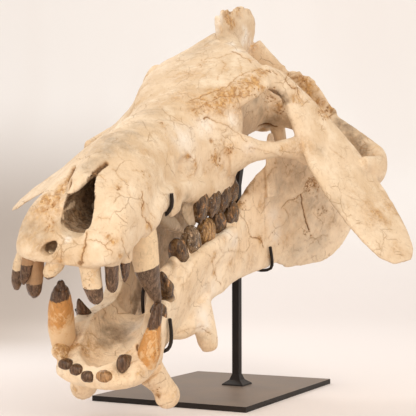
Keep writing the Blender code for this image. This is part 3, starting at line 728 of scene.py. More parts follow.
# cheek and forehead
cheek_cracks = (
    (0.55, 0.6, (210.2, 119), (222.2, 123.9), (230.8, 128.7), (238.4, 133.6), (247.6, 141.7)),
    (0.9, 0.8, (203.7, 119), (207, 117.3), (210, 119)),
    (0.45, 0.5, (199.4, 106.5), (205.9, 105.4), (210.2, 103.8)),
    (0.45, 0.4, (220, 112), (223.2, 115.7), (227.6, 116.8)),
    (0.35, 0.3, (238.4, 133.6), (231.9, 135.2), (225.4, 136.3), (223.2, 142.3), (224, 148)),
    (0.35, 0.3, (234, 127), (239.5, 121.7)),
    (0.3, 0.3, (209, 125), (212.4, 129.3), (218.9, 129.3), (228, 130)),
    (0.4, 0.4, (161.4, 123.3), (165.8, 128), (165.8, 132.5), (167.5, 138)),
    (0.3, 0.3, (171.2, 121), (177.7, 119.5), (182, 118)),
    (0.3, 0.3, (143, 171), (148, 173), (150, 178)),
    (0.9, 1.1, (232.4, 51.5), (240, 54), (245.5, 57.9), (252.3, 62.7)),
    (0.5, 0.6, (222, 60.6), (225.5, 64), (222.7, 68.9), (217.9, 75), (217.9, 79.9)),
    (0.45, 0.5, (237.9, 57.9), (241.3, 67.5), (244, 75.8)),
    (0.6, 0.7, (240, 75), (230.3, 82.6), (220.7, 88.2), (208.3, 93.7), (200, 97.8), (190, 101)),
    (0.55, 0.6, (192, 111), (200, 107.4), (212.4, 101.2), (222, 96.4), (234.4, 95), (252.3, 95)),
    (0.6, 0.8, (241.3, 75.4), (255, 70.2), (266.1, 70.2), (274.4, 71.6)),
    (0.9, 0.9, (266, 69.6), (271.6, 72.3)),
    (0.7, 0.8, (273, 71), (277.8, 75)),
    (0.5, 0.5, (206.9, 58.5), (215.2, 58.5), (224.8, 55.8), (231.7, 53.7)),
    (0.4, 0.4, (196, 66), (204, 63), (213, 62)),
    (0.3, 0.3, (168, 77), (180, 73), (190, 74), (197, 70)))
for line in cheek_cracks:
    face.crack(*line)
# behind the eye: thin plate of the nuchal crest
plate_cracks = (
    (0.8, 1.0, (288, 73), (285.4, 79.9), (290.9, 86.8), (297.8, 88), (299, 95)),
    (0.5, 0.6, (295, 82.6), (302, 80), (306, 82)),
    (0.5, 0.5, (306, 102), (314, 98.5)),
    (0.4, 0.4, (290, 78), (297, 77), (298, 83)))
for line in plate_cracks:
    face.crack(*line)
# eye socket wall
socket_cracks = (
    (1.6, 1.6, (258, 126.5), (263, 124.5), (268, 124), (271.6, 125.5), (277, 127)),
    (0.5, 0.5, (265, 108), (268, 112), (266, 118)),
    (0.4, 0.4, (272, 110), (277, 112), (280, 118)))
for line in socket_cracks:
    face.crack(*line)
# cheek bar and flange: only hair lines along the grain
flange_cracks = (
    (0.35, 0.3, (251.5, 148), (263, 150.5), (273, 153), (280, 157)),
    (0.3, 0.25, (349, 196), (354, 201), (359, 205)),
    (0.3, 0.25, (352, 190), (358, 196), (366, 203)),
    (0.3, 0.25, (330, 148), (337, 154), (345, 160)))
for line in flange_cracks:
    face.crack(*line, bent=0.05)
face_pits = (
    (216, 160, 7, 24, 0.6), (219, 150, 11, 24, 0.5), (230, 149, 5, 14, 0.6), (211, 141, 1.0, 5, 1.4, 0.9),
    (246, 86, 9, 14, 0.6, 0.5), (254, 78, 7, 10, 0.6, 0.5), (256, 93, 5, 12, 0.8, 1.0),
    (272, 94, 7, 20, 0.9, 1.3), (225, 99, 14, 12, 0.5, 0.4), (205, 108, 9, 14, 0.6),
    (203, 63, 5, 10, 0.6), (238, 8, 8, 16, 0.9, 0.9), (230, 20, 6, 14, 1.0, 0.9),
    (325, 113, 7, 34, 1.0, 1.1), (302, 82, 7, 12, 0.8, 0.8), (268, 95, 9, 18, 0.9, 1.0),
    (280, 108, 6, 16, 0.8, 0.8), (50, 200, 10, 18, 0.7, 0.7), (49, 224, 8, 12, 0.6, 0.6),
    (119, 188, 2, 6, 0.8, 0.7), (161.4, 123, 1.5, 5, 0.9, 0.6), (143, 175, 10, 8, 0.5, 0.4),
    (80.5, 263.5, 2.0, 10, 1.2, 1.4))
for scatter in face_pits:
    face.pits(*scatter)
# rust stains; the smoke and brown entries are mostly painted shade
face_stains_and_shading = (
    ("ochre", 1.0, (231, 18, 8), (227, 11, 5), (234, 24, 5), (246, 84, 9), (256, 79, 7), (262, 88, 5),
     (304, 80, 7), (310, 90, 6), (318, 103, 6), (325, 113, 8), (332, 109, 5), (47, 198, 7)),
    ("ochre", 0.7, (226, 97, 13), (208, 104, 10), (236, 90, 10), (216, 160, 7), (211, 141, 2.5),
     (54, 204, 9), (262, 72, 8), (298, 98, 9), (281, 108, 8), (142, 205, 5), (148, 226, 4), (113, 243, 5),
     (108, 236, 4), (196, 112, 8), (238, 8, 7), (252, 46, 6), (62, 190, 7), (70, 178, 6), (49, 226, 4),
     (120, 256, 5), (300, 72, 5)),
    ("ochre", 0.4, (34, 214, 14), (30, 236, 12), (44, 244, 10), (52, 228, 8), (118, 187, 6), (230, 149, 8),
     (180, 96, 14), (186, 156, 5), (194, 164, 4), (254, 60, 7), (240, 112, 9), (300, 145, 12),
     (372, 215, 14), (345, 250, 12), (164, 124, 5), (190, 74, 12), (205, 170, 6), (222, 168, 5),
     (150, 190, 6), (250, 150, 5), (25, 204, 7), (396, 248, 7)),
    # painted shade inside the eye socket and on the broken spur of the tooth row
    ("smoke", 0.8, (262, 112, 7), (268, 122, 8), (256, 98, 6), (189, 206, 6), (187, 198, 6), (192, 214, 5),
     (275, 118, 7)),
    # painted shade along the top of the muzzle, which faces away from the light
    ("smoke", 0.6, (88, 168, 8), (95, 160, 9), (104, 150, 10), (115, 140, 12), (128, 131, 10),
     (142, 124, 8)),
    # painted shade on the muzzle's top, and darker at the tip of the snout
    ("smoke", 0.45, (98, 146, 12), (112, 136, 12), (124, 140, 12), (32, 232, 14), (40, 240, 10),
     (26, 222, 9)),
    # painted shade on the forehead's far slope, the muzzle's top and in small gaps, with a smudge on the
    # flange
    ("smoke", 0.42, (205, 42, 14), (190, 52, 12), (222, 36, 8), (365, 171, 6), (150, 112, 12),
     (296, 143, 5), (80, 150, 12), (124, 252, 4), (60, 224, 6), (334, 206, 9), (320, 150, 7)),
    # painted shade in the hollow behind the cheek flange
    ("brown", 0.62, (351, 132, 8), (358, 141, 8), (364, 149, 7), (346, 126, 7), (340, 121, 6)),
    # painted shade in the deep hollow at the top of the eye socket
    ("brown", 0.85, (280, 96, 5), (274, 94, 5), (284, 102, 4)),
    # painted shade in the eye socket's dark slit, beside a knob and in small gaps
    ("brown", 0.75, (284, 99, 5), (278, 93, 5), (270, 91, 4), (334, 112, 3), (263, 126, 3), (268, 125, 3),
     (165, 212, 3)))
for patch in face_stains_and_shading:
    face.mark(*patch)
# painted shade over the inside of the nose, the hole above the front teeth, and the broken rim of the tooth
# row
face_rooms = (
    ("brown", 1.0, (2, -9, 24), (70, 22, 62), 0.3), ("brown", 1.0, (14, -9, 20), (70, 21, 60)),
    ("brown", 1.0, (18, -12, 20), (70, -8, 44)), ("brown", 1.0, (40, -13, 20), (160, 24, 82), 0.3),
    ("brown", 0.8, (-4, -23, 5), (15, -1, 23.5)), ("smoke", 1.0, (150, 37, -24), (208, 51, 20)))
for room in face_rooms:
    face.room(*room)
pale_patches_and_highlights = (
    # painted highlight on the crest's lit left edge and on a lit rim by the nose
    ("pale", 1.0, (217, 23, 4), (219, 14, 4), (216, 30, 4), (68, 239, 4)),
    # painted light on the crest's lit left face
    ("pale", 1.0, (246, 37, 7), (243, 43, 6), (250, 44, 5)),
    # painted light on the crest, and paler patches on the cheek
    ("pale", 0.75, (232, 44, 6), (237, 50, 5), (246, 36, 6), (249, 43, 5), (243, 28, 4), (205, 125, 10),
     (185, 140, 14), (232, 120, 8), (250, 148, 6)))
for patch in pale_patches_and_highlights:
    face.mark(*patch)
# the round pit on the cheek, and its rim with a painted shadow along its right side
cheek_pit = (182, 167), (185, 163)
cheek_pit_rim = (186, 155), (191, 157.5), (194.5, 162), (195, 168), (192.5, 174), (187, 177)
face.dent(6.5, 6.5, *cheek_pit)
# the rim's crack is cut in and darkened as a painted shadow line
face.crack(0.5, 0.5, *cheek_pit_rim, bent=0.04)
cheek_pit_painted_shadow = (
    # painted shadow: ochre along the rim's right side and smoke in the pit
    ("ochre", 0.7, (195, 160, 2.5), (196, 166, 2.5), (194, 173, 2.5), (188, 156, 2.5)),
    ("smoke", 0.3, (181, 168, 6), (188, 166, 5)))
for patch in cheek_pit_painted_shadow:
    face.mark(*patch)
face_hollows = (
    (-1.9, 3.2, (193, 159), (194.8, 163), (195, 168), (193, 173), (189, 156), (184, 154), (178, 155),
     (173, 158)),
    (3.0, 22, (202, 44)),
    (1.5, 14, (185, 52)),
    (5.0, 7, (270, 95), (278, 100)),
    (-3.0, 5, (334, 111)),
    (2.0, 12, (120, 165)),
    (1.6, 14, (176, 120)))
for hollow in face_hollows:
    face.dent(*hollow)


def worn_edges(own, places):
    """The crest's top and the thin plate behind the eye are broken and ragged, the ends of the cheek
    flanges are worn back a little, and the rest is sound."""
    back, left, up = own.T
    crest = ramp(up, 168, 12) * (back > 395) * (3.4 * lumps(places, 10, 21, 2) - 3.0)
    splayed = ramp(-left, 190, 30) * 3.0 + ramp(left, 190, 30) * 0.8
    plate = ramp(back, 470, 8) * ramp(up, 66, 15) * ramp(np.abs(left), 50, 10)
    return crest - splayed + plate * 2.2 * np.tanh(3 * lumps(places, 9, 22, 2))


face.work(worn_edges)
cranium.data.materials.clear()
cranium.data.materials.append(bone_finish("cranium bone", (0.765, 0.585, 0.395), (0.675, 0.49, 0.305)))
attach(cranium, "root")
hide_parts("cranium")

# --- mandible -----------------------------------------------------------------------------------------
# The lower jaw, both halves and the chin grown together, with two pairs of knobs below.  It hangs in the
# hooks of the two rods that run to the post.
jaw = Form("mandible_bone")
jaw.hull([(2, 28, -20, -25, -33, 2, 2), (9, 43, -14, -26, -41, 2.4, 2, -1), (24, 50, -10, -28, -50, 2.6, 2),
          (58, 51, -6, -26, -68, 2.6, 1.8), (92, 44, 0, -26, -66, 2.6, 1.6),
          (122, 42, 0, -36, -73, 2.6, 1.8), (145, 34, -40, -56, -70, 2, 2)])
jaw.pair([(58, 40, -32, 26, 11), (82, 38, -24, 30, 9), (107, 38, -21, 37, 10), (140, 42, -20, 46, 11),
          (174, 44, -20, 42, 11), (215, 49, -27, 37, 11), (250, 53, -34, 38, 11)], (0, 0.3, 1), square=2.6)
# thickened lower border
jaw.pair([(116, 34, -46, 10, 9), (130, 41, -53, 12, 9), (146, 44, -58, 13, 9), (168, 45, -54, 12, 9),
          (190, 46, -48, 11, 9)], TO_TOP)
jaw.pair([(184, 48, -24, 28, 9), (215, 50, -28, 35, 11), (240, 51, -32, 36, 11), (262, 53, -37, 38, 11),
          (290, 55, -44, 44, 10), (320, 61, -48, 54, 9), (345, 69, -47, 63, 7), (370, 81, -50, 76, 6),
          (400, 102, -61, 79, 6), (425, 121, -72, 78, 6), (445, 136, -80, 67, 6), (460, 146, -89, 48, 6),
          (470, 153, -98, 24, 5)], (0, -0.12, 1), square=2.6)
# coronoid processes, condyles
jaw.pair([(362, 78, -20, 26, 6), (372, 75, 6, 23, 5), (384, 72, 28, 15, 4), (392, 70, 42, 8, 3),
          (394, 70, 48, 4, 2)], TO_BACK)
jaw.pair([(430, 84, -6, 9, 8), (434, 104, -5, 10, 10), (432, 128, -6, 8, 8)], TO_BACK)
# two pairs of knobs under the jaw
jaw.limb([(58, 34, -54, 17, 15), (61, 42, -74, 13, 11), (61, 46, -88, 15, 13), (61, 47, -96, 12, 10)],
         TO_BACK)
jaw.limb([(58, -34, -52, 17, 16), (60, -46, -74, 14, 15), (61, -56, -92, 14, 15), (61, -60, -102, 11, 11)],
         TO_BACK)
# rim of the tooth row rising behind the left canine
jaw.limb([(104, 43, 20, 14, 6), (112, 43, 25, 15, 6), (122, 43, 26, 12, 6), (134, 43, 26, 10, 6),
          (150, 43.5, 26, 9, 6), (166, 44, 24, 7, 5)], TO_TOP)
# socket rim bulging at the chin's right corner, then the inner wall of the right half, rear and front
jaw.limb([(36, -46, -20, 9, 9), (27, -46, -13, 9.6, 9), (21, -46, -10, 7, 7)], TO_TOP)
jaw.limb([(278, -52, -46, 38, 7), (320, -50, -54, 42, 8), (345, -52, -60, 42, 8), (372, -64, -62, 38, 8),
          (396, -82, -66, 24, 6)], TO_TOP)
jaw.limb([(150, -41, -52, 14, 6), (170, -41, -60, 22, 6), (190, -42, -66, 25, 6), (212, -43, -66, 24, 6),
          (235, -46, -58, 20, 6), (258, -50, -50, 14, 6)], TO_TOP)
jaw.pair([(166, 46, -44, 22, 10), (158, 53, -66, 16, 11), (150, 58, -84, 13, 11), (147, 60, -94, 10, 8)],
         TO_BACK)
mandible = jaw.object(jaw_pose)
fuse(mandible, FINE)
trough = Form("trough")
trough.hull([(12, 10, 30, 0, -18, 2, 2), (26, 26, 30, 0, -26, 2, 2), (60, 32, 40, 0, -31, 2, 2.2),
             (100, 26, 60, 0, -33, 2, 2.2, -6), (122, 23, 60, 0, -35, 2, 2.2, -9),
             (130, 23, 60, 0, -60, 2, 2.2, -9), (150, 28, 60, 0, -120, 2, 2, -4),
             (200, 34, 60, -10, -140, 2, 2)])
combine(mandible, trough, "DIFFERENCE", jaw_pose)
broken = Form("broken_rim")
broken.limb([(52, -47, 19, 22, 20), (68, -46, 17, 22, 20), (84, -45, 14, 22, 20), (98, -45, 10, 22, 20),
             (114, -45, 4, 22, 20), (130, -45, 0, 22, 20), (142, -45, 4, 22, 20), (152, -45, 18, 22, 20),
             (164, -45, 40, 22, 20)], TO_TOP, square=3)
combine(mandible, broken, "DIFFERENCE", jaw_pose)
fuse(mandible, FINE)
even_out(mandible, times=3)

body = Surface(mandible, jaw_pose, seed=8)
# cracked plates on the side of the jaw
jaw_plate_cracks = (
    (0.6, 0.6, (239.5, 200.8), (238.4, 210.6), (243.9, 219.3), (248.2, 227.9), (250.3, 236.6),
     (249.3, 245.3), (246, 251.8)),
    (0.9, 0.9, (250.3, 236.6), (257.9, 238.2), (262.3, 242), (264.5, 248)),
    (0.5, 0.5, (229.8, 210.6), (238.4, 212.8), (241.7, 217.1)),
    (0.4, 0.4, (218.9, 227.9), (217.8, 236.6), (218.9, 244.2), (223.2, 252.9), (234, 251.8), (246, 251.8)))
for line in jaw_plate_cracks:
    body.crack(*line)
straight_seam = (265, 186), (264.8, 205), (265.2, 225), (265, 241)
body.crack(0.3, 0.25, *straight_seam, bent=0.02)
jaw_corner_cracks = (
    (0.5, 0.5, (276.4, 167.2), (269.9, 173.7), (266.6, 178.1)),
    (0.6, 0.6, (281.8, 208), (292.6, 199.7), (302, 193.5), (305, 186), (308.9, 177.4)),
    (0.5, 0.5, (292.8, 200.4), (298.6, 202.7)))
for line in jaw_corner_cracks:
    body.crack(*line)
corner_split = (300.8, 194.6), (301.4, 202.7), (303.7, 211.8), (306, 221), (308.9, 230.2)
body.crack(1.1, 1.2, *corner_split, bent=0.1)
jaw_side_cracks = (
    (0.5, 0.5, (283.6, 208.4), (287, 213), (288.2, 218.7)),
    (0.6, 0.7, (308.9, 177.4), (313.5, 179.7), (322.7, 184.3), (327.3, 191.2), (325, 197)),
    (0.6, 0.7, (304, 192), (309, 189), (316, 187), (314, 182), (309, 181)),
    (0.4, 0.5, (308.9, 230.2), (311.2, 238.3), (320.4, 236), (328.4, 236)),
    (0.4, 0.4, (304, 240.5), (308.9, 239.4), (312, 238)),
    (0.4, 0.4, (318, 216), (322, 212), (326, 210)),
    (0.4, 0.4, (322, 208), (324, 213)),
    (0.6, 0.6, (269.5, 252), (271, 257), (271.6, 261.5)),
    (0.35, 0.3, (275.6, 157.9), (277.9, 163.6)),
    (0.6, 0.6, (212, 261), (213.3, 270.6), (215.8, 280.3), (220.6, 285.2)),
    (0.4, 0.4, (215.8, 264.5), (220, 259), (224.2, 254.8)),
    (0.4, 0.4, (174.5, 290), (175.8, 298.5), (174, 303)),
    (0.4, 0.4, (178.2, 332.4), (187.9, 328.8), (198.8, 327), (204, 326)),
    (0.5, 0.5, (202.4, 328.8), (206, 332), (209.7, 333.6)),
    (0.35, 0.3, (196, 262), (190, 275), (180, 286)),
    (0.3, 0.3, (232, 262), (226, 270), (222, 280)))
for line in jaw_side_cracks:
    body.crack(*line)
# chin and trough
chin_cracks = (
    (0.5, 0.5, (103, 304.5), (105.5, 313), (102.4, 318.5)),
    (0.6, 0.6, (110.3, 302), (116.4, 308.2), (117.6, 313), (124.8, 313.6), (132, 312)),
    (0.4, 0.4, (88.5, 339.7), (89.7, 348.2)),
    (0.4, 0.4, (94, 350.6), (99, 347.5), (104.2, 344.5)),
    (0.35, 0.35, (99.4, 344.5), (105.5, 351.8)),
    (0.35, 0.35, (80, 336), (90, 333), (96, 336)),
    (0.8, 0.9, (55.8, 334.8), (61, 333), (66.7, 331.2), (75, 332.4)),
    (0.7, 0.8, (58.8, 341), (64.2, 340.5), (69, 347), (67.9, 354), (63, 358)),
    (1.1, 1.4, (137.6, 345), (137.2, 348), (138.2, 351)),
    (0.6, 0.6, (157, 352), (159, 346), (160.5, 340)),
    (0.4, 0.4, (139, 352), (141, 360), (146, 365)),
    (0.45, 0.5, (152.7, 390.6), (153.4, 394.5)),
    (0.4, 0.3, (120, 366), (130, 364), (140, 358)))
for line in chin_cracks:
    body.crack(*line)
jaw_pits = (
    (158, 396.7, 0.8, 3, 0.9, 0.6), (150, 352, 9, 16, 0.6, 0.5), (64, 336, 4, 14, 0.8, 0.7),
    (313, 186, 9, 36, 1.0, 1.1), (322, 211, 5, 12, 0.9, 0.9), (308, 234, 5, 14, 0.9, 0.9),
    (272, 240, 10, 10, 0.5, 0.5), (155, 388, 10, 8, 0.6, 0.5), (92, 316, 5, 12, 0.8, 0.7),
    (244, 205, 5, 18, 0.7, 0.7), (285, 160, 12, 10, 0.5, 0.4))
for scatter in jaw_pits:
    body.pits(*scatter)
jaw_stains_and_shading = (
    # painted shade in the trough of the chin
    ("smoke", 0.9, (117, 336, 12), (110, 328, 9), (106, 344, 7), (124, 330, 8)),
    # painted shadow of the cheek flange on the jaw's corner
    ("smoke", 0.5, (284, 170, 12), (296, 182, 11), (280, 186, 10), (318, 190, 9), (322, 204, 10),
     (300, 172, 9), (306, 200, 9)),
    # painted shadow on the jaw's corner, and faint smudges on the chin
    ("smoke", 0.3, (306, 214, 12), (326, 224, 12), (312, 246, 12), (334, 214, 8), (290, 210, 8),
     (300, 240, 9), (294, 252, 7), (286, 226, 7), (96, 311, 6), (80, 385, 6), (52, 344, 4), (206, 338, 8),
     (96, 300, 6), (272, 200, 8), (320, 240, 8)),
    ("ochre", 1.0, (60, 349, 8), (60, 351, 6), (57, 341, 6), (64, 356, 6), (72, 347, 5), (150, 349, 6),
     (148, 352, 9), (156, 345, 7), (151, 341, 8), (146, 360, 5)),
    ("ochre", 0.7, (250, 182, 5), (246, 192, 4), (255, 170, 4), (260, 239, 4), (239, 205, 4), (214, 272, 4),
     (62, 333, 7), (158, 395, 4), (140, 372, 6), (270, 256, 4), (315, 184, 5), (84, 350, 6), (215, 256, 5),
     (130, 352, 5)),
    ("ochre", 0.4, (90, 348, 14), (120, 300, 10), (232, 262, 10), (262, 205, 8), (150, 388, 9),
     (250, 262, 10), (130, 300, 8), (172, 262, 8), (76, 390, 8), (190, 300, 9), (225, 240, 6),
     (285, 240, 7), (120, 372, 8)),
    # painted shade on the bone behind the rod
    ("brown", 0.75, (137, 303, 6), (141, 297, 5), (139, 310, 4)),
    # painted shade on the inner wall seen through the mouth
    ("smoke", 1.0, (163, 248, 9), (168, 262, 8), (166, 236, 9), (176, 228, 8), (176, 216, 7),
     (178, 244, 7)),
    ("brown", 0.35, (246, 190, 4), (252, 178, 4)),
    # painted shade in the trough of the chin
    ("brown", 0.55, (112, 335, 8), (119, 341, 7), (106, 329, 5), (117, 330, 6), (112, 343, 5)),
    ("pale", 0.9, (203, 316, 7), (200, 324, 5), (206, 325, 5), (204, 330, 4)),
    ("pale", 0.6, (235, 240, 10), (226, 232, 8), (272, 215, 8), (276, 235, 8), (130, 330, 9), (140, 325, 6),
     (210, 290, 12)))
for patch in jaw_stains_and_shading:
    body.mark(*patch)
# painted shade on the inner wall of the jaw's right half, which lies in shade behind the teeth and the rod
inner_wall = (262, -60, -110), (400, -36, 12)
body.room("smoke", 0.9, *inner_wall)
inner_wall_shading = (
    ("smoke", 0.8, (137, 266, 8), (140, 280, 9), (141, 294, 10), (138, 306, 9), (134, 298, 7)),
    ("brown", 0.6, (143, 288, 8), (144, 300, 8), (141, 311, 7), (140, 277, 7), (137, 268, 6),
     (135, 313, 6)))
for patch in inner_wall_shading:
    body.mark(*patch)
jaw_hollows = (
    (-1.2, 6, (233, 240), (228, 233)),
    (1.2, 9, (284, 176), (290, 186)),
    (1.5, 7, (313, 187)),
    (-1.4, 5, (203, 318), (205, 325)))
for hollow in jaw_hollows:
    body.dent(*hollow)


def sound_edges(own, places):
    """The jaw's edge behind the last tooth is thin and a little chipped."""
    return ramp(own[:, 0], 300, 40) * 0.8 * lumps(places, 10, 23, 2)


body.work(sound_edges)
mandible.data.materials.clear()
# painted light: the jaw's bone is mixed paler than the cranium's, to make up for the shade it hangs in
mandible.data.materials.append(bone_finish("jaw bone", (0.935, 0.75, 0.535), (0.86, 0.655, 0.435)))
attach(mandible, "root")
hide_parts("mandible")

# --- incisors -----------------------------------------------------------------------------------------
# Single-rooted front teeth in swellings of the bone at the tip of the snout, three on the left and four
# on the right: a cream or brown root turns to a dark, worn, glassy crown.
def tooth_finish(name, root, crown, gloss=0.35, worn=None):
    """Root colour up to the neck and crown colour past it, streaked along the tooth; worn shows through
    the root."""
    stain_brown, hair_brown, bone_cream = (0.22, 0.085, 0.024), (0.30, 0.155, 0.065), (0.76, 0.535, 0.31)
    chip_tan, crown_rust = (0.40, 0.27, 0.15), (0.26, 0.125, 0.042)
    made, into, place = material(name)
    streak = noise(stretched(place, 1, 1, 0.16), 2.2, 5, 0.65, 0.3)
    cloud = noise(place, 6, 5, 0.65)
    low = mixed(between(cloud, 0.40, 0.72) * 0.6, root, tuple(c * 0.74 for c in root))
    low = mixed(between(streak, 0.54, 0.72) * 0.4, low, tuple(c * 0.50 for c in root))
    if worn:
        bared = between(noise(stretched(place, 1, 1, 0.6), 9, 6, 0.7, 0.9), 0.50, 0.62)
        low = mixed(bared * 0.6, low, worn)
        low = mixed(between(noise(place, 5, 5, 0.7, 1.2), 0.58, 0.66) * 0.75, low, stain_brown)
    edge = crazing(stretched(place, 1, 1, 0.8 if worn else 1.5), 80.0)
    hair = (1 - between(edge, 0.0, 0.035)) * between(noise(place, 9, 3), 0.46, 0.62)
    low = mixed(hair * 0.45, low, hair_brown)
    low = mixed(between(written("gum") + (cloud - 0.5) * 1.6, 0.1, 0.9) * 0.9, low, bone_cream)
    high = mixed(between(streak, 0.38, 0.66), crown, tuple(c * 2.6 + 0.012 for c in crown))
    pale_specks = between(noise(stretched(place, 1, 1, 0.12), 1.3, 4, 0.6), 0.56, 0.68)
    high = mixed(pale_specks * 0.45, high, chip_tan)
    high = mixed(between(cloud, 0.56, 0.76) * 0.45, high, crown_rust)
    share = between(written("crown") + (cloud - 0.5) * 0.9 + (streak - 0.5) * 0.5, 0.42, 0.58)
    Shade.join(mixed(share, low, high), into["Base Color"])
    Shade.join(0.5 - share * (0.5 - gloss) + (cloud - 0.5) * 0.2, into["Roughness"])
    Shade.join(share * 0.12, into["Coat Weight"])
    into["Coat Roughness"].default_value = 0.12
    into["Specular IOR Level"].default_value = 0.28
    grain = streak * 0.8 + noise(place, 1.2, 3) * 0.4
    Shade.join(Shade.node("Bump", Height=grain, Strength=0.7, Distance=0.0009), into["Normal"])
    return made


def tooth(name, stations, lean, pose, neck, made_of, wide, seed, ridges=0.35, gum=None, slant=0.0):
    """A tooth swept from its root to its tip.  Root turns to crown at the neck, over so wide a band, and
    bone clings to it up to the gum; a slant raises the neck towards the left."""
    form = Form(name)
    form.limb(smooth_steps(stations, 4), lean, square=2.2, sides=32)
    made = form.object(pose)
    skin = Surface(made, pose, seed)
    places, facing = skin.points()
    own = skin.own(places)
    grooves = lumps(own * MM * np.array([1, 1, 0.16]), 2.6, seed, 2)
    places += facing * (ridges * MM * (grooves + 0.5 * lumps(places, 5, seed + 1)))[:, None]
    skin.move(places)
    down = math.copysign(1, stations[0][2] - stations[-1][2])
    neck = neck + slant * (own[:, 1] - stations[0][1])
    skin.note("crown", np.clip(0.5 + (neck - own[:, 2]) * down / wide, 0, 1))
    clinging = np.zeros(len(own))
    if gum is not None:
        clinging += np.clip(0.5 + (own[:, 2] - gum) * down / 16 + 0.5 * lumps(places, 6, seed, 2), 0, 1)
    skin.note("gum", clinging)
    made.data.materials.append(made_of)
    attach(made, "root")
    return made


cream_tooth = tooth_finish("cream incisor", (0.76, 0.575, 0.37), (0.066, 0.035, 0.018), 0.26,
                           (0.66, 0.43, 0.22))
brown_tooth = tooth_finish("brown incisor", (0.36, 0.205, 0.10), (0.052, 0.024, 0.010), 0.24)
upper_incisors = (
    ("left_1", -21, cream_tooth, 4, (
        (5, 22, 10, 10, 9), (4, 22.5, 0, 10.2, 9), (4, 23, -8, 9.6, 8.5), (4, 23.6, -18, 9.5, 8.2),
        (4, 25.8, -28, 8.0, 7.4), (4, 27, -34, 6.2, 6), (4, 27.4, -37.5, 3.2, 3))),
    ("left_2", 0, cream_tooth, 6, (
        (14, 41, 10, 7, 8), (13.5, 40, -4, 5.8, 7.6), (13.5, 39.6, -18, 5.6, 7),
        (13.5, 39.4, -25, 4.4, 5.2), (13.5, 39.2, -28, 2.4, 3))),
    ("left_3", -2, brown_tooth, 6, (
        (30, 46, 10, 5, 8), (30, 45.4, -6, 3.7, 7), (30, 45, -15, 3, 5.6), (30, 44.6, -21, 1.9, 3.4),
        (30, 44.4, -24, 0.9, 1.2))),
    ("right_1", -16, cream_tooth, 8, (
        (4, -10, 9, 9, 8), (4, -14, -3, 8.2, 7.6), (4, -19, -9, 7.4, 6.6), (5, -23, -14, 6.2, 5.4),
        (5, -25.5, -18, 3.6, 3))),
    ("right_2", -26, brown_tooth, 8, (
        (10, -38, 10, 8, 8), (9, -40, -6, 8.4, 8.2), (9, -42, -20, 8.6, 7.6), (9.5, -44, -33, 7.6, 6.4),
        (10, -45, -40, 5, 4.6), (10, -45.3, -43, 2.2, 2))),
    ("right_3", -19, cream_tooth, 8, (
        (24, -53, 10, 6.6, 8), (22, -60.5, -4, 6.6, 8), (20.5, -67, -20, 6.4, 7),
        (20, -70.2, -33, 5.2, 5.6), (20, -71.6, -41, 2.6, 2.8))),
    ("right_small", -5, brown_tooth, 4, (
        (6, -41, 6, 6, 5), (2, -43.5, -4, 6.4, 5), (0, -46, -15, 5.4, 4.2), (-1, -48, -22, 3.4, 2.6),
        (-1, -48.6, -25.5, 1.2, 1.2))))
for seed, (name, neck, made_of, wide, stations) in enumerate(upper_incisors, 31):
    tooth(f"upper_incisor_{name}", stations, TO_LEFT, skull_pose, neck, made_of, wide, seed)

# --- lower incisors -----------------------------------------------------------------------------------
# Five worn and broken front teeth, rounded stubs of enamel over dentine in a row along the edge of the
# chin, each set in the jaw bone.
amber_tooth = tooth_finish("amber incisor", (0.36, 0.205, 0.09), (0.19, 0.10, 0.04), 0.22)
lower_incisors = (
    (12, -31.6, -15.4, 8.0, 5.6, brown_tooth), (8, -17.4, -16.8, 7.8, 5.8, brown_tooth),
    (5, -3.6, -20.6, 7.8, 6.0, brown_tooth), (6, 14, -18.6, 8.6, 6.0, amber_tooth),
    (16, 31, -8.8, 5.4, 9.0, brown_tooth))
for number, (back, left, up, half, tall, made_of) in enumerate(lower_incisors, 1):
    stations = ((back + 12, left, up - 8, half * 0.8, tall * 0.8), (back + 5, left, up - 4, half, tall),
                (back - 1, left, up, half, tall), (back - 4, left, up + 1.6, half * 0.8, tall * 0.8),
                (back - 5.2, left, up + 2.2, half * 0.4, tall * 0.4))
    tooth(f"lower_incisor_{number}", stations, TO_LEFT, jaw_pose, up - 12, made_of, wide=4,
          seed=41 + number)

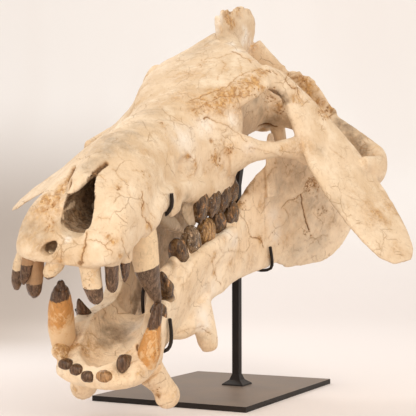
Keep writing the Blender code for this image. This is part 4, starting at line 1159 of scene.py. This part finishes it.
# --- cheek teeth --------------------------------------------------------------------------------------
# Premolars with one blunt point and low square molars with worn cusps, on short roots in the tooth rows.
# Of the upper left premolars a spur is left, and of the lower right ones a wedge.
def cheek_tooth(name, back, left, gum, tip, half, cusps, wide, pose, seed, made_of):
    """A crown on a short root.  cusps is how many stand along it, each side: 1 is a blunt point, and 0 a
    low round crown."""
    up = math.copysign(1, tip - gum)
    tall = abs(tip - gum) + 4
    # how far up the tooth (millimetres for the root, then shares of its height) and how full it is there
    root = [(-9, 0.82), (-4, 0.88), (0, 0.94)]
    crown = [(0.22, 1.03), (0.5, 1.0), (0.72, 0.88), (0.86, 0.74), (0.93, 0.60), (0.96, 0.42), (0.97, 0.22),
             (0.975, 0.04)]
    if cusps == 0:
        root = [(-9, 0.82), (-4, 0.86), (0, 0.92)]
        crown = [(0.22, 1.04), (0.45, 1.06), (0.66, 0.96), (0.82, 0.76), (0.93, 0.48), (0.98, 0.22),
                 (1, 0.04)]
    if cusps == 1:
        root = [(-9, 0.85), (-4, 0.9), (0, 0.97)]
        crown = [(0.2, 1.03), (0.45, 0.9), (0.68, 0.66), (0.85, 0.42), (0.95, 0.24), (1, 0.06)]
    profile = root + [(rise * tall, full) for rise, full in crown]
    if up < 0:
        profile = [(rise, full * min(1, 0.70 + 0.30 * (rise + 9) / 16)) for rise, full in profile]
    rings, sides = [], 44
    for rise, full in smooth_steps(profile):
        ring = []
        for k in range(sides):
            turn = 2 * math.pi * k / sides
            along, across = squared(math.cos(turn), 0.78), squared(math.sin(turn), 0.78)
            ring.append(spot(back + half * full * along, left + wide * full * across, gum + up * rise))
        rings.append(ring)
    form = Form(name)
    form.rings(rings)
    made = form.object(pose)
    skin = Surface(made, pose, seed)
    places, facing = skin.points()
    own = skin.own(places)
    high = ramp((own[:, 2] - gum) * up / tall, 0.45, 0.4)
    rise = np.zeros(len(own))
    if cusps > 1:
        for along in np.linspace(-0.52, 0.52, cusps):
            for across in (-0.45, 0.45):
                away = ((own[:, 0] - back) / half - along) ** 2
                away += ((own[:, 1] - left) / wide - across) ** 2
                rise = np.maximum(rise, np.exp(-away / 0.055))
        rise = (rise * 4.2 - 2.4) * high
    upwards = np.array(pose.to_3x3() @ spot(*TO_TOP)) / MM
    places += np.outer(rise * up * MM, upwards)
    wrinkles = lumps(own * MM * np.array([1, 1, 0.4]), 3.0, seed, 2) * 0.28 + lumps(places, 7, seed + 1)
    places += facing * (wrinkles * MM)[:, None]
    skin.move(places)
    skin.note("crown", np.clip((own[:, 2] - gum) * up / 5 + 1.7, 0, 1))
    made.data.materials.append(made_of)
    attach(made, "root")


def molar_finish(name, dark, light, rust, pale_specks=0.3):
    """Wrinkled glassy enamel, dark in its hollows, with rusty patches, pale specks painted in as glints, and
    a dull neck.
    """
    made, into, place = material(name)
    wrinkle = noise(stretched(place, 1, 1, 0.4), 3.2, 4, 0.6, 0.5)
    colour = mixed(between(wrinkle, 0.32, 0.74), dark, light)
    rusty = between(noise(place, 8, 3), 0.56, 0.68) * between(wrinkle, 0.3, 0.55)
    colour = mixed(rusty * 0.85, colour, rust)
    # painted glints: small pale specks standing for highlights on the glassy enamel
    painted_glint = between(noise(place, 1.5, 3), 0.60, 0.66) * between(noise(place, 7, 2), 0.45, 0.6)
    colour = mixed(painted_glint * pale_specks, colour, (0.82, 0.74, 0.62))
    colour = mixed(1 - written("crown"), colour, (0.50, 0.35, 0.20))
    Shade.join(colour, into["Base Color"])
    Shade.join(0.12 + wrinkle * 0.22, into["Roughness"])
    into["Coat Weight"].default_value = 0.25
    into["Coat Roughness"].default_value = 0.04
    into["Specular IOR Level"].default_value = 0.22
    grain = wrinkle + noise(place, 1.8, 2) * 0.9
    Shade.join(Shade.node("Bump", Height=grain, Strength=1.0, Distance=0.0007), into["Normal"])
    return made


molar_enamel = molar_finish("cheek tooth enamel", (0.032, 0.014, 0.005), (0.20, 0.108, 0.045),
                            (0.45, 0.21, 0.07))
clear_enamel = molar_finish("grey cheek tooth enamel", (0.060, 0.032, 0.015), (0.34, 0.22, 0.12),
                            (0.50, 0.30, 0.14), 0.9)
amber_enamel = molar_finish("amber cheek tooth enamel", (0.12, 0.055, 0.018), (0.56, 0.32, 0.12),
                            (0.56, 0.27, 0.085), 0.5)
# each row: back, left, gum, tip, half length, cusps
upper_row = ((127, 49, 21, 4, 6.5, 1), (148, 48, 22, 4, 8, 1), (172, 49, 22, -10, 10.5, 1),
             (199, 50, 16, -12, 11.5, 2), (229, 51, 11, -15, 14, 2), (260, 53, 6, -14, 12.5, 2),
             (287, 55, 4, -17, 13, 3))
chipped_row = ((199, 49, 16, -15, 13.5, 2), (229, 51, 12, -17, 15.5, 2), (260, 52, 7, -18, 15, 2),
               (285, 52, 4, -17, 14.5, 3))
lower_row = ((84, 44, 4, 14, 6, 1), (101, 47, 17, 40, 6.5, 1), (150, 44, 22, 47, 11, 0),
             (180, 45.5, 18, 42, 14, 0), (214, 47.5, 8, 31, 15.5, 0), (246, 48, 0, 23, 15, 2),
             (280, 50, -6, 11, 16, 3))
for number, (back, left, gum, tip, half, cusps) in enumerate(chipped_row, 4):
    cheek_tooth(f"upper_cheek_tooth_left_{number}", back, left, gum, tip, half, cusps, wide=9.4,
                pose=skull_pose, seed=50 + number, made_of=molar_enamel)
worn_premolar = tooth_finish("worn premolar", (0.34, 0.245, 0.155), (0.20, 0.135, 0.08), 0.4)
spur = ((104, 47, 24, 7, 5), (112, 47, 16, 8.5, 6), (126, 46.5, 7, 8.5, 6), (142, 46, -4, 6.5, 5),
        (154, 46, -12, 3.8, 3), (161, 46, -17, 1.4, 1.4))
tooth("upper_cheek_tooth_left_1", spur, TO_TOP, skull_pose, neck=-2, made_of=worn_premolar, wide=12,
      seed=51)
lower_enamel = {4: clear_enamel, 5: amber_enamel}       # by number; the others are plain
FIRST_WHOLE_RIGHT = 4                          # in front of it the lower right row is broken away
for number, (above, below) in enumerate(zip(upper_row, lower_row), 1):
    back, left, gum, tip, half, cusps = above
    cheek_tooth(f"upper_cheek_tooth_right_{number}", back, -left, gum, tip, half, cusps, wide=8.5,
                pose=skull_pose, seed=60 + number, made_of=molar_enamel)
    back, left, gum, tip, half, cusps = below
    cheek_tooth(f"lower_cheek_tooth_left_{number}", back, left, gum, tip - 1, half, cusps, wide=8.8,
                pose=jaw_pose, seed=70 + number, made_of=lower_enamel.get(number, molar_enamel))
    if number >= FIRST_WHOLE_RIGHT:
        cheek_tooth(f"lower_cheek_tooth_right_{number}", back, -left, gum, tip - 2, half, cusps, wide=8,
                    pose=jaw_pose, seed=80 + number, made_of=molar_enamel)
wedge = ((84, -46, -22, 9.6, 6), (84, -46.5, -10, 9.0, 5.5), (83.5, -47, -2, 6.6, 4.4),
         (83, -47.5, 6, 3.4, 2.6), (83, -47.6, 11, 1, 1))
tooth("lower_cheek_tooth_right_1", wedge, TO_LEFT, jaw_pose, neck=-12, made_of=brown_tooth, wide=4,
      seed=81)

# --- canines ------------------------------------------------------------------------------------------
# Four great canines, each standing in its own socket: long cream or orange roots and dark streaked points.
# The upper right one is broken off at the gum.
sleeve = tooth_finish("upper canine", (0.80, 0.60, 0.375), (0.072, 0.042, 0.024), 0.32)
fang = tooth_finish("lower canine", (0.58, 0.27, 0.078), (0.048, 0.022, 0.009), 0.28, (0.80, 0.56, 0.31))
upper_left = tooth(
    "upper_canine_left_tooth",
    ((72, 43, 25, 12, 12), (73, 44, 8, 13, 14), (74, 44, -8, 13, 14), (75, 45, -24, 12.8, 12.8),
     (75.5, 46, -31, 12, 11.6), (77, 48, -42, 9.8, 9), (79, 51, -56, 6, 6), (80, 53, -63, 3.6, 3.6),
     (80, 53.2, -65.5, 2, 2)),
    TO_BACK, skull_pose, neck=-26.5, made_of=sleeve, wide=2, seed=91, ridges=0.3, slant=0.3)
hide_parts("upper_canine_left")
upper_right = tooth(
    "upper_canine_right_stub",
    ((72, -43, 25, 11, 11), (73, -44, 8, 12, 12), (74, -45, -2, 11.8, 11.8), (74, -45, -5, 10, 9.4),
     (74, -45, -6.6, 5, 4.6)),
    TO_BACK, skull_pose, neck=-3, made_of=sleeve, wide=2, seed=92)
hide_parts("upper_canine_right")
lower_left = tooth(
    "lower_canine_left_tooth",
    ((36, 45, -28, 8.8, 8.8), (42, 47, -15, 11, 11), (50, 49, -3, 9.4, 8.6), (58, 50.2, 6, 7.2, 6.6),
     (66, 51, 15, 6.0, 5.5), (72, 51.5, 21.5, 5.4, 5.0), (74, 51.5, 23.6, 4.4, 4.2)),
    (1, 0, -0.6), jaw_pose, neck=8, made_of=fang, wide=12, seed=93, gum=-22)
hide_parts("lower_canine_left")
lower_right = tooth(
    "lower_canine_right_tooth",
    ((38, -47, -37, 8, 8), (40, -49, -16, 12, 12), (41, -47, 4, 13.2, 12.8), (42, -45, 17, 13.2, 12.8),
     (42, -41, 34, 12, 11.6), (43, -37.5, 48, 9.6, 9.2), (43, -35.5, 55, 7, 6.8), (43, -34.8, 57, 4.6, 4.4),
     (43, -34.2, 62, 3.4, 3.3), (43, -33.8, 64.5, 2, 2)),
    TO_BACK, jaw_pose, neck=45, made_of=fang, wide=8, seed=94, gum=14)
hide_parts("lower_canine_right")

# --- stand --------------------------------------------------------------------------------------------
# Flat steel plate, square bar and bent rods, welded up and sprayed satin black.  The shapes are the part's
# own; here they get their paint, lighter brown on what faces up: a film of dust and a painted sheen.
paint, paint_in, place = material("satin black paint")
facing_up = Shade.node("SeparateXYZ", 2, Vector=Shade.node("NewGeometry", 1))
dust = between(noise(place, 60, 4), 0.3, 0.75)
peel = noise(place, 1.4, 3)
black = mixed(dust, (0.010, 0.006, 0.004), (0.020, 0.013, 0.009))
dust_and_sheen = mixed(dust, (0.18, 0.133, 0.10), (0.25, 0.19, 0.145))
# what faces up is mixed lighter brown: a film of dust and a painted sheen
Shade.join(mixed(between(facing_up, 0.8, 0.98), black, dust_and_sheen), paint_in["Base Color"])
Shade.join(0.40 + peel * 0.12 + dust * 0.1, paint_in["Roughness"])
paint_in["Specular IOR Level"].default_value = 0.25
Shade.join(Shade.node("Bump", Height=peel, Strength=0.25, Distance=0.0004), paint_in["Normal"])
for node in ("stand_base", "stand_post", "stand_jaw_front_arm", "stand_jaw_rear_arm", "stand_palate_arm"):
    for slot in bpy.data.objects[node].material_slots:
        slot.material = paint
